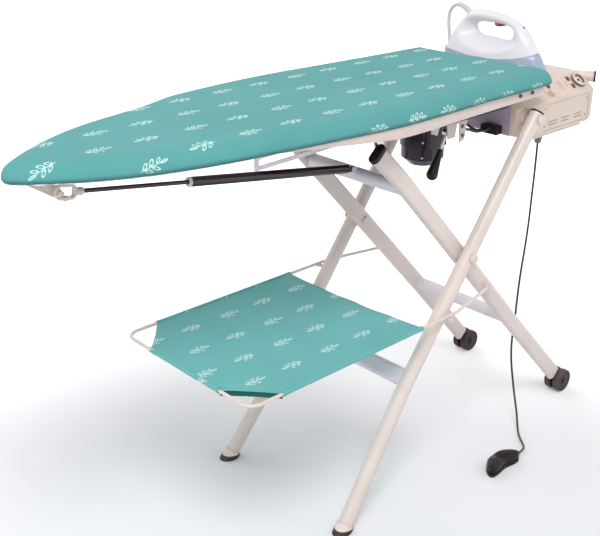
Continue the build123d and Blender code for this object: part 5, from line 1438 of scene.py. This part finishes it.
# a dark line round the panel: painted shade in its groove
border, corner = [], 0.0085
for turn_start, x, z in ((0, panel_high.x, panel_high.z), (90, panel_low.x, panel_high.z),
                         (180, panel_low.x, panel_low.z), (270, panel_high.x, panel_low.z)):
    mid_x = x - math.copysign(corner, x - panel_middle.x)
    mid_z = z - math.copysign(corner, z - panel_middle.z)
    for step in range(6):
        turn = math.radians(turn_start + 18 * step)
        border.append((mid_x + math.cos(turn) * corner, panel_low.y - 0.0002,
                       mid_z + math.sin(turn) * corner))
border.append(border[0])
piece("panel_groove_shade", rod(border, 0.0007, 8), label_print_and_shade, "board", 60)

# %% Painted shade on the nose side
box_low, box_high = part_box("boiler_housing")
sheet_inset = 0.018
sheet_low = Vector((box_low.x - 0.0008, box_low.y + sheet_inset, box_low.z + 0.015))
sheet_high = Vector((box_low.x + 0.0004, box_high.y - sheet_inset,
                     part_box("vacuum_pan")[0].z - 0.004))
# painted shade: a thin sheet in a shaded lavender over the box's nose side
nose_shade_sheet = piece("nose_shade_sheet", block(sheet_low, sheet_high), painted_shade_enamel, "board")
rounded(nose_shade_sheet, 0.0004)

# %% [markdown]
# ## Floor and light
# The table stands on a plain white floor under four soft lamps and a pale sky. The lamps add up to
# about the level at which a colour looks as it was mixed. More of them would whiten the floor and
# bleach the table with it. So what the camera and the glossy parts see of the floor and the sky
# gets light of its own instead, and the floor still holds the shadows.

# %% Floor
black, white = (0.0, 0.0, 0.0, 1.0), (1.0, 1.0, 1.0, 1.0)


def seen_rays(tree):
    """1 for what the camera or a glossy surface sees, 0 for light that falls on the table."""
    by_camera = tree.node("ShaderNodeLightPath", {}, {}, "Is Camera Ray")
    return by_camera | tree.node("ShaderNodeLightPath", {}, {}, "Is Glossy Ray")


floor_finish = Finish("studio_floor", {
    "Roughness": 0.9, "Specular IOR Level": 0.1, "Emission Strength": 1.0,
})
floor_place = floor_finish.place()
floor_grain = floor_finish.cloud(floor_place, 3.0, 2.0)
floor_finish.give(
    "Base Color", floor_finish.mix(floor_grain, paint(228, 229, 233), paint(233, 234, 237))
)
floor_x, floor_y, _ = floor_finish.axes(floor_place)
distance_squared = floor_x * floor_x + floor_y * floor_y
far_off = distance_squared.step(0.3, 4.5) * 0.7
near_by = distance_squared.step(0.25, 1.0) * 0.09
behind = (floor_x * 0.68 + floor_y * 0.73).step(0.0, 0.75) * 0.34
glow = seen_rays(floor_finish) * (far_off + near_by + behind + 0.01)
floor_finish.give("Emission Color", floor_finish.mix(glow, black, white))
floor_shape = bmesh.new()
bmesh.ops.create_grid(floor_shape, x_segments=4, y_segments=4, size=60.0)
floor = shown("floor", mesh_of("floor", floor_shape, floor_finish))
floor.location.z = -0.0005
print("floor is", floor.dimensions.x, "m wide")

# %% Lamps and sky
lamps = [
    ("key", (-1.4, -1.8, 3.8), 1.8, 84.0),
    ("fill", (2.6, -2.6, 1.9), 2.8, 12.0),
    ("back", (0.6, 3.2, 3.0), 3.0, 26.0),
    ("side", (-3.0, -0.6, 1.3), 2.0, 15.0),
]
lamp_aim = Vector((0, 0, 0.6))
for name, place, size, power in lamps:
    lamp = bpy.data.lights.new(name, "AREA")
    lamp.shape = "DISK"
    lamp.size = size
    lamp.energy = power
    made = shown(name, lamp)
    made.location = place
    made.rotation_euler = (Vector(place) - lamp_aim).to_track_quat("Z", "Y").to_euler()

sky_level = 0.63
world = bpy.data.worlds.new("sky")
world.use_nodes = True
sky = Nodes(world.node_tree)
background = world.node_tree.nodes["Background"]
background.inputs["Color"].default_value = white
sky.put(background.inputs["Strength"], seen_rays(sky) * (1.0 - sky_level) + sky_level)
bpy.context.scene.world = world
bpy.context.scene.view_settings.view_transform = "Standard"
print("lamps:", len(lamps))
